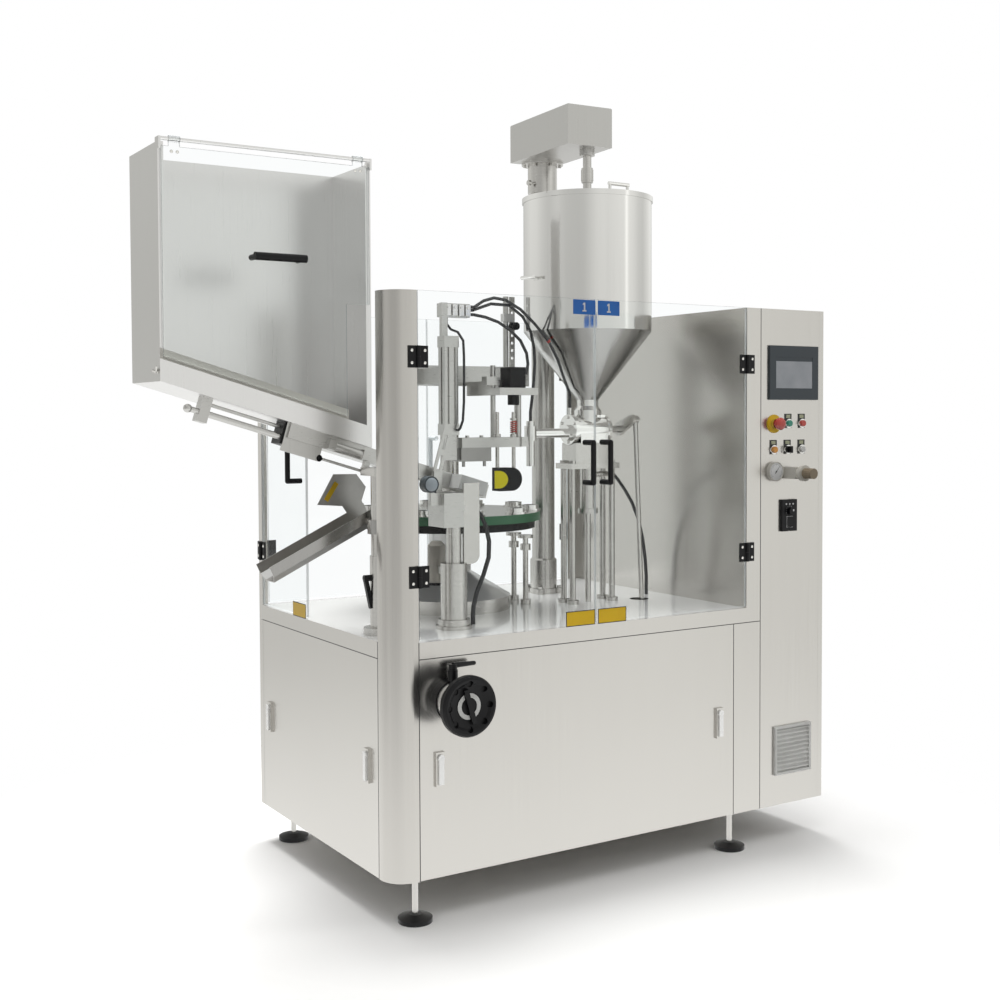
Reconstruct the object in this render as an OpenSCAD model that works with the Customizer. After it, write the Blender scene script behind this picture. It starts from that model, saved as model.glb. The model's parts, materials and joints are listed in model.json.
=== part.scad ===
// Semi-automatic rotary tube filling machine: a base cabinet on levelling feet, a guarded table with a
// turntable of tube cups, a product hopper with a mixer on a column, a tube magazine and a control cabinet.
// Millimetres, +Z up. The origin is the middle of the machine's footprint, on the floor.

/* [Base and guard] */
// Width of the base, left edge to the electrical cabinet
base_w = 1342; // [1290:1:1500]
// Depth of the base
base_d = 950; // [900:1:1100]
// Height of the base's underside above the floor
foot_h = 125; // [90:1:160]
// Height of the underside of the table skirt
skirt_z = 740; // [700:1:750]
// Height of the table top
table_z = 787; // [780:1:830]
// Height of the doors, the column and the cabinet
guard_z = 1751; // [1700:1:1850]
// Thickness of the sheet steel
sheet = 3; // [2:0.5:4]
// Thickness of the acrylic guards
acrylic = 8; // [5:1:10]
// Width of the rounded corner column across the front
column_w = 86; // [80:1:110]
// Depth of the rounded corner column
column_d = 81; // [75:1:100]
// Radius of the corner column's rounded corner
column_r = 70; // [40:1:74]
// Width of the steel strip between the right door and the cabinet
strip_w = 60; // [45:1:80]
// Width of the lower strip beside the front panel
low_strip_w = 114; // [80:1:140]
// Side of the rear left corner post
post_w = 29; // [22:1:40]
// Side of the square tubes in the base frame
tube_w = 40; // [30:1:50]

/* [Doors] */
// Gap between a door and the post beside it
door_gap = 3; // [2:0.5:6]
// Height of the doors' lower edge above the table
door_lift = 6; // [3:1:15]
// Height and full width of a hinge
hinge_size = 60; // [40:1:80]
// Distance from a door's end to the middle of its hinge
hinge_inset = 181; // [120:1:260]
// Length of a door handle
handle_len = 118; // [90:1:160]
// Distance that a handle stands off its door
handle_reach = 45; // [35:1:60]
// Radius of a door handle's bar
handle_r = 8; // [5:0.5:10]
// Front edge of the side door, from the front of the base
side_door_y = 563; // [555:1:650]

/* [Electrical cabinet] */
// Width of the electrical cabinet
cabinet_w = 279; // [260:1:400]
// Depth of the folded cabinet door
cabinet_door_t = 20; // [12:1:30]
// Size of the touch panel across the front
panel_w = 216; // [160:1:230]
// Height of the touch panel
panel_h = 176; // [120:1:180]
// Radius of the emergency-stop disc
estop_disc_r = 30; // [24:1:36]
// Radius of a push button's cap
button_r = 10.7; // [8:0.1:13]
// Radius of the pressure gauge
gauge_r = 31.5; // [20:0.5:33]
// Width and height of the vent louver
vent_size = 160; // [120:1:180]
// Number of louver slats
vent_slats = 10; // [6:1:14]

/* [Product side] */
// Outer radius of the hopper
hopper_r = 212; // [160:1:215]
// Height of the hopper's straight wall
hopper_wall_h = 435; // [300:1:500]
// Height of the hopper's cone
hopper_cone_h = 225; // [150:1:300]
// Outer radius of the hopper's neck
neck_r = 36; // [25:1:45]
// Radius of the main column
mast_r = 39.5; // [30:0.5:44]
// Height of the mixer's gear housing
mixer_h = 129; // [90:1:160]
// Length of the mixer's gear housing
mixer_len = 380; // [370:1:440]
// Width of the mixer's gear housing
mixer_w = 170; // [130:1:220]
// Radius of the mixer shaft
shaft_r = 14; // [8:0.5:16]
// Radius of the filling valve's body
valve_r = 42; // [38:1:46]

/* [Tube side] */
// Radius of the turntable
turntable_r = 294; // [285:1:310]
// Radius of the circle of tube cups
cup_circle_r = 260; // [245:1:262]
// Number of tube cups
stations = 10; // [6:1:12]
// Outer radius of a tube cup
cup_r = 34; // [28:1:36]
// Inner radius of a tube cup
cup_bore_r = 20; // [15:1:24]
// Height of a tube cup
cup_h = 18; // [14:1:34]
// Width of the tube magazine
magazine_w = 617; // [560:1:660]
// Depth of the tube magazine
magazine_d = 250; // [220:1:270]
// Slope of the magazine floor and the feed rail, in degrees
feed_slope = 16.7; // [12:0.1:18]
// Slope of the discharge chute, in degrees
chute_slope = 25.5; // [20:0.5:32]
// Width of the discharge chute
chute_w = 100; // [80:1:110]

/* [Handwheel and feet] */
// Radius of the handwheel
wheel_r = 84; // [70:1:95]
// Thickness of the handwheel's rim
wheel_t = 28; // [20:1:34]
// Number of finger scallops inside the handwheel's rim
scallops = 8; // [6:1:12]
// Radius of a foot pad
pad_r = 49; // [38:1:60]
// Radius of a foot stud
stud_r = 8.5; // [6:0.5:12]

/* [Hidden] */
$fn = 48;

// Shared small values
eps = 0.3;
running = 0.05;
cut = 1;

// Main planes, from the front left corner of the base
strip_x = base_w - strip_w;
cabinet_x1 = base_w + cabinet_w;
cabinet_gear_x = cabinet_x1 - cabinet_door_t;
panel_x1 = base_w - low_strip_w;
rear_strip_x = strip_x - 41;
front_mid = (column_w + strip_x) / 2;
rear_mid = (post_w + rear_strip_x) / 2;
table_t = 12;
frame_top = table_z - table_t;
plate_t = 6;

// Footprint, which sets the origin
magazine_x0 = -545;
wheel_front = 124;
origin_x = (magazine_x0 + cabinet_x1) / 2;
origin_y = (base_d + handle_reach + handle_r - wheel_front) / 2;

// Doors
hinge_t = 5;
knuckle_r = 6;
hinge_pin_r = 3;
hinge_axis_y = -(hinge_t + 1.5);
door_z0 = table_z + door_lift;
hinge_zs = [table_z + hinge_inset, guard_z - hinge_inset];
handle_z = table_z + 483;
door_w_front = front_mid - column_w - door_gap / 2;
door_w_side = base_d - post_w - side_door_y - door_gap / 2;
door_w_rear = rear_mid - post_w - door_gap / 2;
left_handle_in = 40;
right_handle_in = 22;
side_handle_in = 32;

// Latches on the lift-off panels
latch_w = 29;
latch_h = 96;
latch_t = 8;
latch_z = 430;
latch_inset = 62;
latch_pivot_up = 32;
latch_pin_r = 6;

// Controls on the cabinet's front
estop_at = [base_w + 57, guard_z - 372];
button_row_1 = guard_z - 371;
button_row_2 = guard_z - 456;
start_at = [base_w + 119, button_row_1];
stop_at = [base_w + 179, button_row_1];
jog_at = [base_w + 54, button_row_2];
selector_at = [base_w + 116, button_row_2];
reset_at = [base_w + 178, button_row_2];
gauge_at = [base_w + 57, guard_z - 527];
regulator_at = [base_w + 119, guard_z - 532];
speed_at = [base_w + 120, guard_z - 672];
vent_at = [base_w + 141, foot_h + 180];
panel_at = [base_w + 141, guard_z - 206];
screen_inset = [27, 37];
legend_t = 1.5;
bezel_t = 7;
bezel_r = 15;
estop_collar_t = 14;
regulator_side = 38;
regulator_len = 55;
bonnet_r = 26;
regulator_ring_y = -80;
regulator_knob_r = 17;
regulator_knob_len = 38;
speed_size = [66, 9, 104];
speed_knob_up = 14;

// Product side
hopper_in = 392;
hopper_x = base_w - hopper_in;
hopper_y = 410;
valve_up = 575;
valve_z = table_z + valve_up;
ferrule_z = valve_z + 50;
ferrule_h = 28;
ferrule_r = 46;
cone_z = ferrule_z + ferrule_h + 20;
wall_z = cone_z + hopper_cone_h;
hopper_top = wall_z + hopper_wall_h;
lid_t = 4;
lid_split_y = -65;
lid_gap = 2;
lid_knuckle_r = 5;
lid_hinge_z = hopper_top + lid_t + lid_knuckle_r + eps;
lid_knuckle_x = 30;
lid_pin_r = 2.5;
rim_h = 12;
rim_w = 4;
lid_hole_r = 40;
mast_y = 677;
mixer_gap = 166;
mixer_z = hopper_top + mixer_gap;
mixer_off = -14;
mixer_turn = -3.2;
mixer_front = 330;
coupling_r = 19;
valve_x0 = hopper_x - 65;
valve_x1 = hopper_x + 60;
valve_flange_t = 15;
nozzle_reach = 228;
nozzle_x = hopper_x - nozzle_reach;
nozzle_up = 458;
nozzle_tip = table_z + nozzle_up;
pipe_z = valve_z - 11;
pipe_r = 15;
nozzle_r = 14;
lever_x = hopper_x + 125;
lever_t = 12;
lever_end = [-70, 33];
lever_shaft_r = 12;
rod_r = 8;
rod_lean = [36, 12];
rod_hole_r = 32;
rod_swing = 26;
rod_bottom = frame_top - 60;
pump_y = 410;
pump_r = 26;
pump_top = valve_z - valve_r - 2;
pump_block = [152, 80, 67];
pump_plate = [196, 92, 18];
pump_h = 150;
tie_x = 80;
tie_y = 26;
tie_r = 10;
piston_r = 10;
piston_drop = 40;
pump_port = 80;
pump_port_drop = 150;
air_port_x = valve_x0 - valve_flange_t / 2;
air_port_h = 22;

// Tube side
table_x = 497;
table_y = 546;
drum_r = 195;
drum_h = 43;
hub_r = 68;
hub_z0 = table_z + 120;
turntable_z = table_z + 263;
turntable_t = 52;
turntable_step = 25;
turntable_in = 18;
turntable_top = turntable_z + turntable_t;
center_post_r = 30;
turntable_bore_r = 45;
lifter_at = [[742, 473], [761, 575]];
lifter_r = 9;
lifter_top = turntable_z - 34;
beam_z0 = table_z + 719;
beam_h = 64;
beam_x = [290, 790];
beam_y = [521, 571];
front_post_at = [295, 170];
front_post_top = table_z + 298;
front_block = [[247, 140], [313, 235]];
front_block_h = 100;
guide_plate_x = [322, 375];
lens_at = [206, 1212];
lens_r = 24;
can_at = [310, 300];
can_r = 27;
tower_x = 560;
tower_y = 305;
tower_low = table_z + 525;
tower_high = table_z + 686;
tower_plate_t = 30;
top_plate_t = 22;
guide_r = 6;
guide_x = 30;
head_z = table_z + 389;
head_h = 72;
head_y = [275, 317];
head_w = 84;
actuator_at = [354, 300];
actuator_z = [table_z + 564, table_z + 862];
actuator_w = 46;
actuator_d = 40;
end_cap_h = 34;
manifold_z = table_z + 923;
manifold_x = [352, 452];
manifold_h = 42;

// Tube magazine, feed rail and chute
magazine_y0 = 250;
magazine_x1 = magazine_x0 + magazine_w;
magazine_top = table_z + 1343;
floor_left_z = table_z + 719;
lip_h = 85;
lip_bar_h = 28;
lip_bar_x1 = -2;
rail_x = [-170, 474];
rail_y = [262, 330];
rail_h = 42;
rail_t = 8;
feed_post_at = [66, 200];
feed_sleeve_top = table_z + 224;
feed_post_r = 22;
hinge_rod_r = 5;
hinge_rod_z = magazine_top + 3;
cover_t = 6;
cover_clear = 8;
cover_y = magazine_y0 - cover_t;
chute_from = [-226, 245, 160];
chute_len = 372;
chute_side = 50;
chute_fold = 20;
chute_t = 2.5;

// Handwheel
wheel_at = [178, 622];
wheel_shaft_r = 12;
wheel_housing_r = 58;
wheel_ring_r = 54;
wheel_ring_t = 20;
wheel_housing_t = 50;
wheel_back = wheel_front - wheel_t;
clamp_up = 86;
dial_r = [24, 36];
dish_depth = 12;
bar_size = [14, 98];
bar_tilt = -16;

// Hose routes: the points that each hose follows, and its radius
hose_front = [[380, 205, table_z], [380, 205, 812], [384, 208, 840], [400, 215, 880], [430, 225, 930],
    [450, 228, 980], [450, 225, 1030], [430, 212, 1080], [405, 200, 1115], [370, 188, 1135], [340, 184, 1140],
    [front_block[1][0], 184, 1140]];
hose_front_r = 7;
hose_valve = [[hopper_x + 272, 442, table_z], [hopper_x + 272, 442, 815], [hopper_x + 271, 440, 850],
    [hopper_x + 266, 440, 910], [hopper_x + 255, 440, 980], [hopper_x + 235, 438, 1050], [hopper_x + 205, 436, 1110],
    [hopper_x + 170, 430, 1155], [hopper_x + 135, 422, 1190], [hopper_x + 110, 412, 1208],
    [hopper_x + 95, pump_y, valve_z - pump_port_drop], [hopper_x + pump_port, pump_y, valve_z - pump_port_drop]];
hose_valve_r = 6;
hose_loop = [[manifold_x[1], 350, 1735], [470, 350, 1735], [540, 355, 1758], [611, 362, 1757], [670, 375, 1725],
    [712, 392, 1680], [734, 406, 1630], [740, 411, 1580], [736, 411, 1520], [728, 410, 1460],
    [nozzle_x, hopper_y, 1420], [nozzle_x, hopper_y, pipe_z + 40]];
hose_loop_r = 5;
hose_arc = [[manifold_x[1], 340, 1744], [470, 340, 1744], [505, 342, 1765], [545, 345, 1776], [590, 350, 1772],
    [650, 355, 1745], [705, 358, 1702], [760, 360, 1648], [798, 364, 1590], [836, 386, 1535],
    [air_port_x, hopper_y, 1480], [air_port_x, hopper_y, valve_z + valve_r + 8 + air_port_h]];
hose_arc_r = 5;
hose_tower = [[manifold_x[1], 358, 1722], [480, 358, 1722], [520, 356, 1716], [563, 350, 1702], [600, 340, 1678],
    [630, 326, 1645], [644, 312, 1605], [644, 304, 1570], [634, 300, 1540], [616, 300, 1540]];
hose_tower_r = 5;
hose_actuator = [[378, 350, manifold_z], [378, 350, 1690], [381, 330, 1672], [385, 295, 1662], [388, 268, 1635],
    [388, 264, 1590], [387, 262, 1530], [386, 262, 1450], [382, 262, 1395], [373, 262, 1372],
    [370, 267, 1366], [370, actuator_at[1] - actuator_d / 2 - 2, 1366]];
hose_actuator_r = 4;

// Moves the corner frame that the sizes are measured in to the part's own origin
module place() translate([-origin_x, -origin_y, 0]) children();

// A box given by its two corners
module span(low, high) translate(low) cube(high - low);

// Cylinders along each axis, from one end to the other
module rod_z(x, y, z0, z1, r) translate([x, y, z0]) cylinder(h = z1 - z0, r = r);
module rod_y(x, z, y0, y1, r) translate([x, y0, z]) rotate([-90, 0, 0]) cylinder(h = y1 - y0, r = r);
module rod_x(y, z, x0, x1, r) translate([x0, y, z]) rotate([0, 90, 0]) cylinder(h = x1 - x0, r = r);

// Height of the sloped floor of the magazine and the feed rail
function floor_z(x) = floor_left_z - (x - magazine_x0) * tan(feed_slope);

// A swept tube: rings of points at right angles to the route, joined into one closed skin
function unit(v) = v / norm(v);
function route_dir(p, i) = unit(p[min(i + 1, len(p) - 1)] - p[max(i - 1, 0)]);
function side_dir(d) = unit(cross(d, abs(d[0]) < 0.7 ? [1, 0, 0] : [0, 1, 0]));
function ring(p, i, r, n) = let (d = route_dir(p, i), s = side_dir(d), t = cross(d, s))
    [for (k = [0:n - 1]) p[i] + r * cos(360 * k / n) * s + r * sin(360 * k / n) * t];
module hose(p, r, n = 8) {
    points = [for (i = [0:len(p) - 1]) each ring(p, i, r, n)];
    last = (len(p) - 1) * n;
    sides = [for (i = [0:len(p) - 2]) for (k = [0:n - 1])
        [i * n + k, i * n + (k + 1) % n, (i + 1) * n + (k + 1) % n, (i + 1) * n + k]];
    ends = [[for (k = [n - 1:-1:0]) k], [for (k = [0:n - 1]) last + k]];
    polyhedron(points, concat([for (f = sides) [f[3], f[2], f[1], f[0]]], [for (e = ends) [for (k = e) k]]));
}

// A door hinge in its own frame: the door lies along +x, the outside is at -y
module hinge_fixed(z) {
    half = hinge_size / 2;
    span([-half, -hinge_t, z - half], [-knuckle_r - 0.5, 0, z + half]);
    span([-knuckle_r - 0.5, -hinge_t, z - half], [0, -1, z - eps / 2]);
    rod_z(0, hinge_axis_y, z - half, z - eps / 2, knuckle_r);
    rod_z(0, hinge_axis_y, z - half, z + half, hinge_pin_r);
}
module hinge_moving(z) {
    half = hinge_size / 2;
    span([knuckle_r + 0.5, -hinge_t, z - half], [half, 0, z + half]);
    difference() {
        union() {
            span([0, -hinge_t, z + eps / 2], [knuckle_r + 0.5, -1, z + half]);
            rod_z(0, hinge_axis_y, z + eps / 2, z + half, knuckle_r);
        }
        rod_z(0, hinge_axis_y, z - half, z + half + cut, hinge_pin_r + running);
    }
}
module door_pane(width) span([door_gap / 2, 0, door_z0], [width, acrylic, guard_z]);
module door_handle(x) {
    top = handle_z + handle_len / 2;
    low = handle_z - handle_len / 2;
    rod_z(x, -handle_reach, low, top, handle_r);
    for (z = [low, top]) {
        translate([x, -handle_reach, z]) sphere(handle_r);
        rod_y(x, z, -handle_reach, 0, handle_r);
    }
}
module door_fittings(handle_x) {
    for (z = hinge_zs) hinge_moving(z);
    door_handle(handle_x);
}

// Where each door's hinge line stands
module at_front_left() translate([column_w + door_gap / 2, 0, 0]) children();
module at_front_right() translate([strip_x - door_gap / 2, 0, 0]) mirror([1, 0, 0]) children();
module at_side() translate([0, base_d - post_w - door_gap / 2, 0]) rotate([0, 0, -90]) children();
module at_rear_left() translate([post_w + door_gap / 2, base_d, 0]) mirror([0, 1, 0]) children();
module at_rear_right() translate([rear_strip_x - door_gap / 2, base_d, 0]) rotate([0, 0, 180]) children();

// Plan of the rounded corner column, drawn in by a wall thickness
module column_plan(inset) {
    intersection() {
        translate([column_r, column_r]) circle(column_r - inset);
        square(column_r);
    }
    translate([column_r, inset]) square([column_w - column_r - inset, column_d - 2 * inset]);
    translate([inset, column_r]) square([column_w - 2 * inset, column_d - column_r - inset]);
}

module levelling_feet() color("dimgray") {
    nut_h = 14;
    for (x = [93, base_w - 91], y = [45, base_d - 50]) translate([x, y, 0]) {
        cylinder(h = 12, r = pad_r);
        translate([0, 0, 12]) cylinder(h = 10, r1 = pad_r, r2 = 2.2 * stud_r);
        translate([0, 0, 22]) cylinder(h = foot_h - 22, r = stud_r);
        translate([0, 0, foot_h - nut_h]) cylinder(h = nut_h, r = 1.8 * stud_r, $fn = 6);
    }
}

module base_frame() color("gray") {
    difference() {
        span([sheet, sheet, foot_h], [base_w, base_d - sheet, foot_h + plate_t]);
        span([0, 0, foot_h - cut], [column_w, column_d, foot_h + plate_t + cut]);
    }
    low = foot_h + plate_t;
    for (p = [[column_w, sheet], [base_w - tube_w, sheet], [sheet, base_d - sheet - tube_w],
            [base_w - tube_w, base_d - sheet - tube_w]])
        span([p[0], p[1], low], [p[0] + tube_w, p[1] + tube_w, frame_top - tube_w]);
    span([column_w, sheet, frame_top - tube_w], [base_w, sheet + tube_w, frame_top]);
    span([sheet, base_d - sheet - tube_w, frame_top - tube_w], [base_w, base_d - sheet, frame_top]);
    span([sheet, column_d, frame_top - tube_w], [sheet + tube_w, base_d - sheet - tube_w, frame_top]);
    span([base_w - tube_w, sheet + tube_w, frame_top - tube_w], [base_w, base_d - sheet - tube_w, frame_top]);
    span([panel_x1, 0, foot_h], [base_w, sheet, skirt_z]);
}

// A latch housing in its own frame: it stands on the plane y = 0 and faces -y
module latch_housing() difference() {
    span([-latch_w / 2, -latch_t, latch_z - latch_h / 2], [latch_w / 2, 0, latch_z + latch_h / 2]);
    rod_y(0, latch_z + latch_pivot_up, -latch_t - cut, cut, latch_pin_r + running);
}
module latch_handle() {
    rod_y(0, latch_z + latch_pivot_up, -latch_t - 6, -0.5, latch_pin_r);
    rod_y(0, latch_z + latch_pivot_up, -latch_t - 6, -latch_t - eps, 10);
    span([-8, -latch_t - 6, latch_z - latch_h / 2 + 6], [8, -latch_t - eps, latch_z + latch_pivot_up]);
}
module at_front_latch(x) translate([x, 0, 0]) children();
module at_side_latch(y) translate([0, y, 0]) rotate([0, 0, -90]) children();
front_latch_xs = [column_w + latch_inset, panel_x1 - latch_inset];
side_latch_ys = [column_d + latch_inset, base_d - post_w - latch_inset];

module base_panels() color("silver") {
    front_panel();
    left_panel();
    rear_panel();
}
module front_panel() {
    difference() {
        span([column_w + cut, 0, foot_h + cut], [panel_x1 - cut, sheet, skirt_z - cut]);
        rod_y(wheel_at[0], wheel_at[1], -cut, sheet + cut, wheel_shaft_r + 2);
        for (x = front_latch_xs) rod_y(x, latch_z + latch_pivot_up, -cut, sheet + cut, latch_pin_r + running);
    }
    for (x = front_latch_xs) at_front_latch(x) latch_housing();
}
module left_panel() {
    difference() {
        span([0, column_d + cut, foot_h + cut], [sheet, base_d - post_w - cut, skirt_z - cut]);
        for (y = side_latch_ys) rod_x(y, latch_z + latch_pivot_up, -cut, sheet + cut, latch_pin_r + running);
    }
    for (y = side_latch_ys) at_side_latch(y) latch_housing();
}
module rear_panel() {
    span([post_w, base_d - sheet, foot_h + cut], [base_w, base_d, skirt_z - cut]);
    difference() {
        span([0, base_d - post_w, foot_h + cut], [post_w, base_d, skirt_z - cut]);
        span([sheet, base_d - post_w - cut, foot_h], [post_w + cut, base_d - sheet, skirt_z]);
    }
}

module table_top() color("gainsboro") difference() {
    span([0, 0, skirt_z], [base_w, base_d, table_z]);
    span([sheet, sheet, skirt_z - cut], [base_w + cut, base_d - sheet, frame_top]);
    span([-cut, -cut, skirt_z - cut], [column_w, column_d, table_z + cut]);
    rod_z(lever_x + lever_t + rod_r + rod_lean[0], hopper_y + lever_end[0] + rod_lean[1] + rod_swing / 2,
        frame_top - cut, table_z + cut, rod_hole_r);
    rod_z(hopper_x, pump_y, frame_top - cut, table_z + cut, piston_r + eps);
    for (p = lifter_at) rod_z(p[0], p[1], frame_top - cut, table_z + cut, lifter_r + eps);
}

module corner_column() color("lightgray") {
    translate([0, 0, foot_h]) linear_extrude(guard_z - foot_h - sheet) difference() {
        column_plan(0);
        column_plan(sheet);
    }
    translate([0, 0, guard_z - sheet]) linear_extrude(sheet) column_plan(0);
}
module rear_post() color("silver") translate([0, base_d - post_w, table_z]) difference() {
    cube([post_w, post_w, guard_z - table_z]);
    translate([sheet, -cut, -cut]) cube([post_w, post_w - sheet + cut, guard_z]);
}
module side_wall() color("silver") {
    span([strip_x, sheet, table_z], [strip_x + sheet, base_d - sheet, guard_z]);
    span([strip_x, 0, table_z], [base_w, sheet, guard_z]);
    span([rear_strip_x, base_d - sheet, table_z], [base_w, base_d, guard_z]);
    span([strip_x, sheet, guard_z - sheet], [base_w, base_d - sheet, guard_z]);
}
module hinge_leaves() color("black") for (z = hinge_zs) {
    at_front_left() hinge_fixed(z);
    at_front_right() hinge_fixed(z);
    at_side() hinge_fixed(z);
    at_rear_left() hinge_fixed(z);
    at_rear_right() hinge_fixed(z);
}

cabinet_hinge_r = 5;
cabinet_hinge_h = 70;
cabinet_hinge_zs = [foot_h + 220, guard_z - 220];
module cabinet_shell() color("silver") {
    difference() {
        span([base_w, 0, foot_h], [cabinet_gear_x, base_d, guard_z]);
        span([base_w + sheet, sheet, foot_h + sheet], [cabinet_gear_x + cut, base_d - sheet, guard_z - sheet]);
    }
    for (z = cabinet_hinge_zs) {
        rod_z(cabinet_gear_x, base_d + cabinet_hinge_r, z, z + cabinet_hinge_h / 2, cabinet_hinge_r);
        rod_z(cabinet_gear_x, base_d + cabinet_hinge_r, z, z + cabinet_hinge_h, cabinet_hinge_r / 2);
        span([cabinet_gear_x - 30, base_d, z], [cabinet_gear_x, base_d + 3, z + cabinet_hinge_h / 2]);
    }
    gear_x = base_w + sheet;
    span([gear_x, 80, foot_h + 120], [gear_x + 4, base_d - 80, guard_z - 120]);
    for (row = [0:3], col = [0:4])
        span([gear_x + 4, 120 + col * 145, foot_h + 200 + row * 310],
            [gear_x + 50, 120 + col * 145 + 120, foot_h + 200 + row * 310 + 190]);
}
module cabinet_door() color("lightgray") {
    x0 = cabinet_gear_x + eps;
    difference() {
        span([x0, 0, foot_h], [cabinet_x1, base_d, guard_z]);
        span([x0 - cut, sheet, foot_h + sheet], [cabinet_x1 - sheet, base_d - sheet, guard_z - sheet]);
    }
    for (z = cabinet_hinge_zs) difference() {
        union() {
            rod_z(cabinet_gear_x, base_d + cabinet_hinge_r, z + cabinet_hinge_h / 2 + eps, z + cabinet_hinge_h,
                cabinet_hinge_r);
            span([cabinet_gear_x + eps, base_d, z + cabinet_hinge_h / 2 + eps],
                [cabinet_x1, base_d + 3, z + cabinet_hinge_h]);
        }
        rod_z(cabinet_gear_x, base_d + cabinet_hinge_r, z, z + cabinet_hinge_h + cut, cabinet_hinge_r / 2 + running);
    }
}

module vent_louver() color("ivory") translate([vent_at[0], 0, vent_at[1]]) {
    half = vent_size / 2;
    rim = 8;
    depth = 9;
    pitch = (vent_size - 2 * rim) / vent_slats;
    difference() {
        span([-half, -depth, -half], [half, 0, half]);
        span([-half + rim, -depth - cut, -half + rim], [half - rim, -2, half - rim]);
    }
    for (k = [0:vent_slats - 1])
        translate([-half + rim, -2, -half + rim + (k + 0.75) * pitch]) rotate([35, 0, 0])
            translate([0, -7, -1]) cube([vent_size - 2 * rim, 7.5, 2]);
}
module touch_panel() color("black") translate([panel_at[0], 0, panel_at[1]]) difference() {
    span([-panel_w / 2, -7, -panel_h / 2], [panel_w / 2, 0, panel_h / 2]);
    span([-panel_w / 2 + screen_inset[0], -7 - cut, -panel_h / 2 + screen_inset[1]],
        [panel_w / 2 - screen_inset[0], -6, panel_h / 2 - screen_inset[1]]);
}

// A push button's bezel on its legend plate
module bezel(at) translate([at[0], 0, at[1]]) difference() {
    union() {
        span([-bezel_r, -legend_t, -bezel_r], [bezel_r, 0, 2.1 * bezel_r]);
        rod_y(0, 0, -bezel_t, 0, bezel_r);
    }
    rod_y(0, 0, -bezel_t - cut, cut, button_r + eps);
}
module control_bezels() color("gold") {
    for (at = [start_at, stop_at, jog_at, selector_at, reset_at]) bezel(at);
    translate([estop_at[0], 0, estop_at[1]]) difference() {
        union() {
            rod_y(0, 0, -3, 0, estop_disc_r);
            rod_y(0, 0, -estop_collar_t, 0, 16);
        }
        rod_y(0, 0, -estop_collar_t - cut, cut, button_r + eps);
    }
}
module button_cap(at) translate([at[0], 0, at[1]]) {
    rod_y(0, 0, -12, -4.5, button_r);
    translate([0, -12, 0]) rotate([90, 0, 0]) cylinder(h = 1.5, r1 = button_r, r2 = button_r - 1.5);
}
module start_button() color("green") button_cap(start_at);
module stop_button() color("red") button_cap(stop_at);
module jog_button() color("orange") button_cap(jog_at);
module reset_button() color("white") button_cap(reset_at);
module estop_button() color("red") translate([estop_at[0], 0, estop_at[1]]) {
    rod_y(0, 0, -22, -5, button_r);
    translate([0, -20, 0]) rotate([90, 0, 0]) rotate_extrude()
        polygon([[0, 0], [15, 0], [20, 6], [20, 13], [17, 18], [10, 21], [0, 22]]);
}
module selector_knob() color("black") translate([selector_at[0], 0, selector_at[1]]) {
    rod_y(0, 0, -11, -4.5, button_r);
    span([-4, -24, -11], [4, -11, 11]);
}

module air_regulator() color("ivory") {
    translate([gauge_at[0], 0, gauge_at[1]]) difference() {
        rod_y(0, 0, -14, 0, gauge_r);
        rod_y(0, 0, -14 - cut, -12, gauge_r - 3);
    }
    translate([regulator_at[0], 0, regulator_at[1]]) {
        half = regulator_side / 2;
        difference() {
            union() {
                span([-half, -regulator_len, -half], [half, 0, half]);
                translate([0, -regulator_len, 0]) rotate([90, 0, 0])
                    cylinder(h = -regulator_ring_y - regulator_len - 12, r1 = half, r2 = half - 4);
                rod_y(0, 0, regulator_ring_y, regulator_ring_y + 12, bonnet_r);
            }
            rod_y(0, 0, regulator_ring_y - cut, regulator_ring_y + 8, regulator_knob_r / 2 + running);
        }
    }
}
module regulator_knob() color("tan") translate([regulator_at[0], 0, regulator_at[1]]) difference() {
    union() {
        rod_y(0, 0, regulator_ring_y - eps - regulator_knob_len, regulator_ring_y - eps, regulator_knob_r);
        rod_y(0, 0, regulator_ring_y - cut, regulator_ring_y + 7, regulator_knob_r / 2);
    }
    for (k = [0:15]) rotate([0, 22.5 * k, 0])
        rod_y(regulator_knob_r + 1, 0, regulator_ring_y - regulator_knob_len + 8, regulator_ring_y - 6, 2);
}
module speed_controller() color("black") translate([speed_at[0], 0, speed_at[1]]) {
    half_w = speed_size[0] / 2;
    half_h = speed_size[2] / 2;
    difference() {
        span([-half_w, -speed_size[1], -half_h], [half_w, 0, half_h]);
        for (z = [-half_h, half_h]) rod_y(0, z, -speed_size[1] - cut, cut, 5);
        rod_y(0, speed_knob_up, -speed_size[1] - cut, -2, 4 + running);
    }
    span([-12, -speed_size[1] - 3, -38], [12, -speed_size[1], -4]);
}
module speed_knob() color("black") translate([speed_at[0], 0, speed_at[1] + speed_knob_up]) {
    rod_y(0, 0, -speed_size[1] - 13, -speed_size[1] - eps, 12);
    rod_y(0, 0, -speed_size[1] - cut, -3, 4);
}

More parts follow.
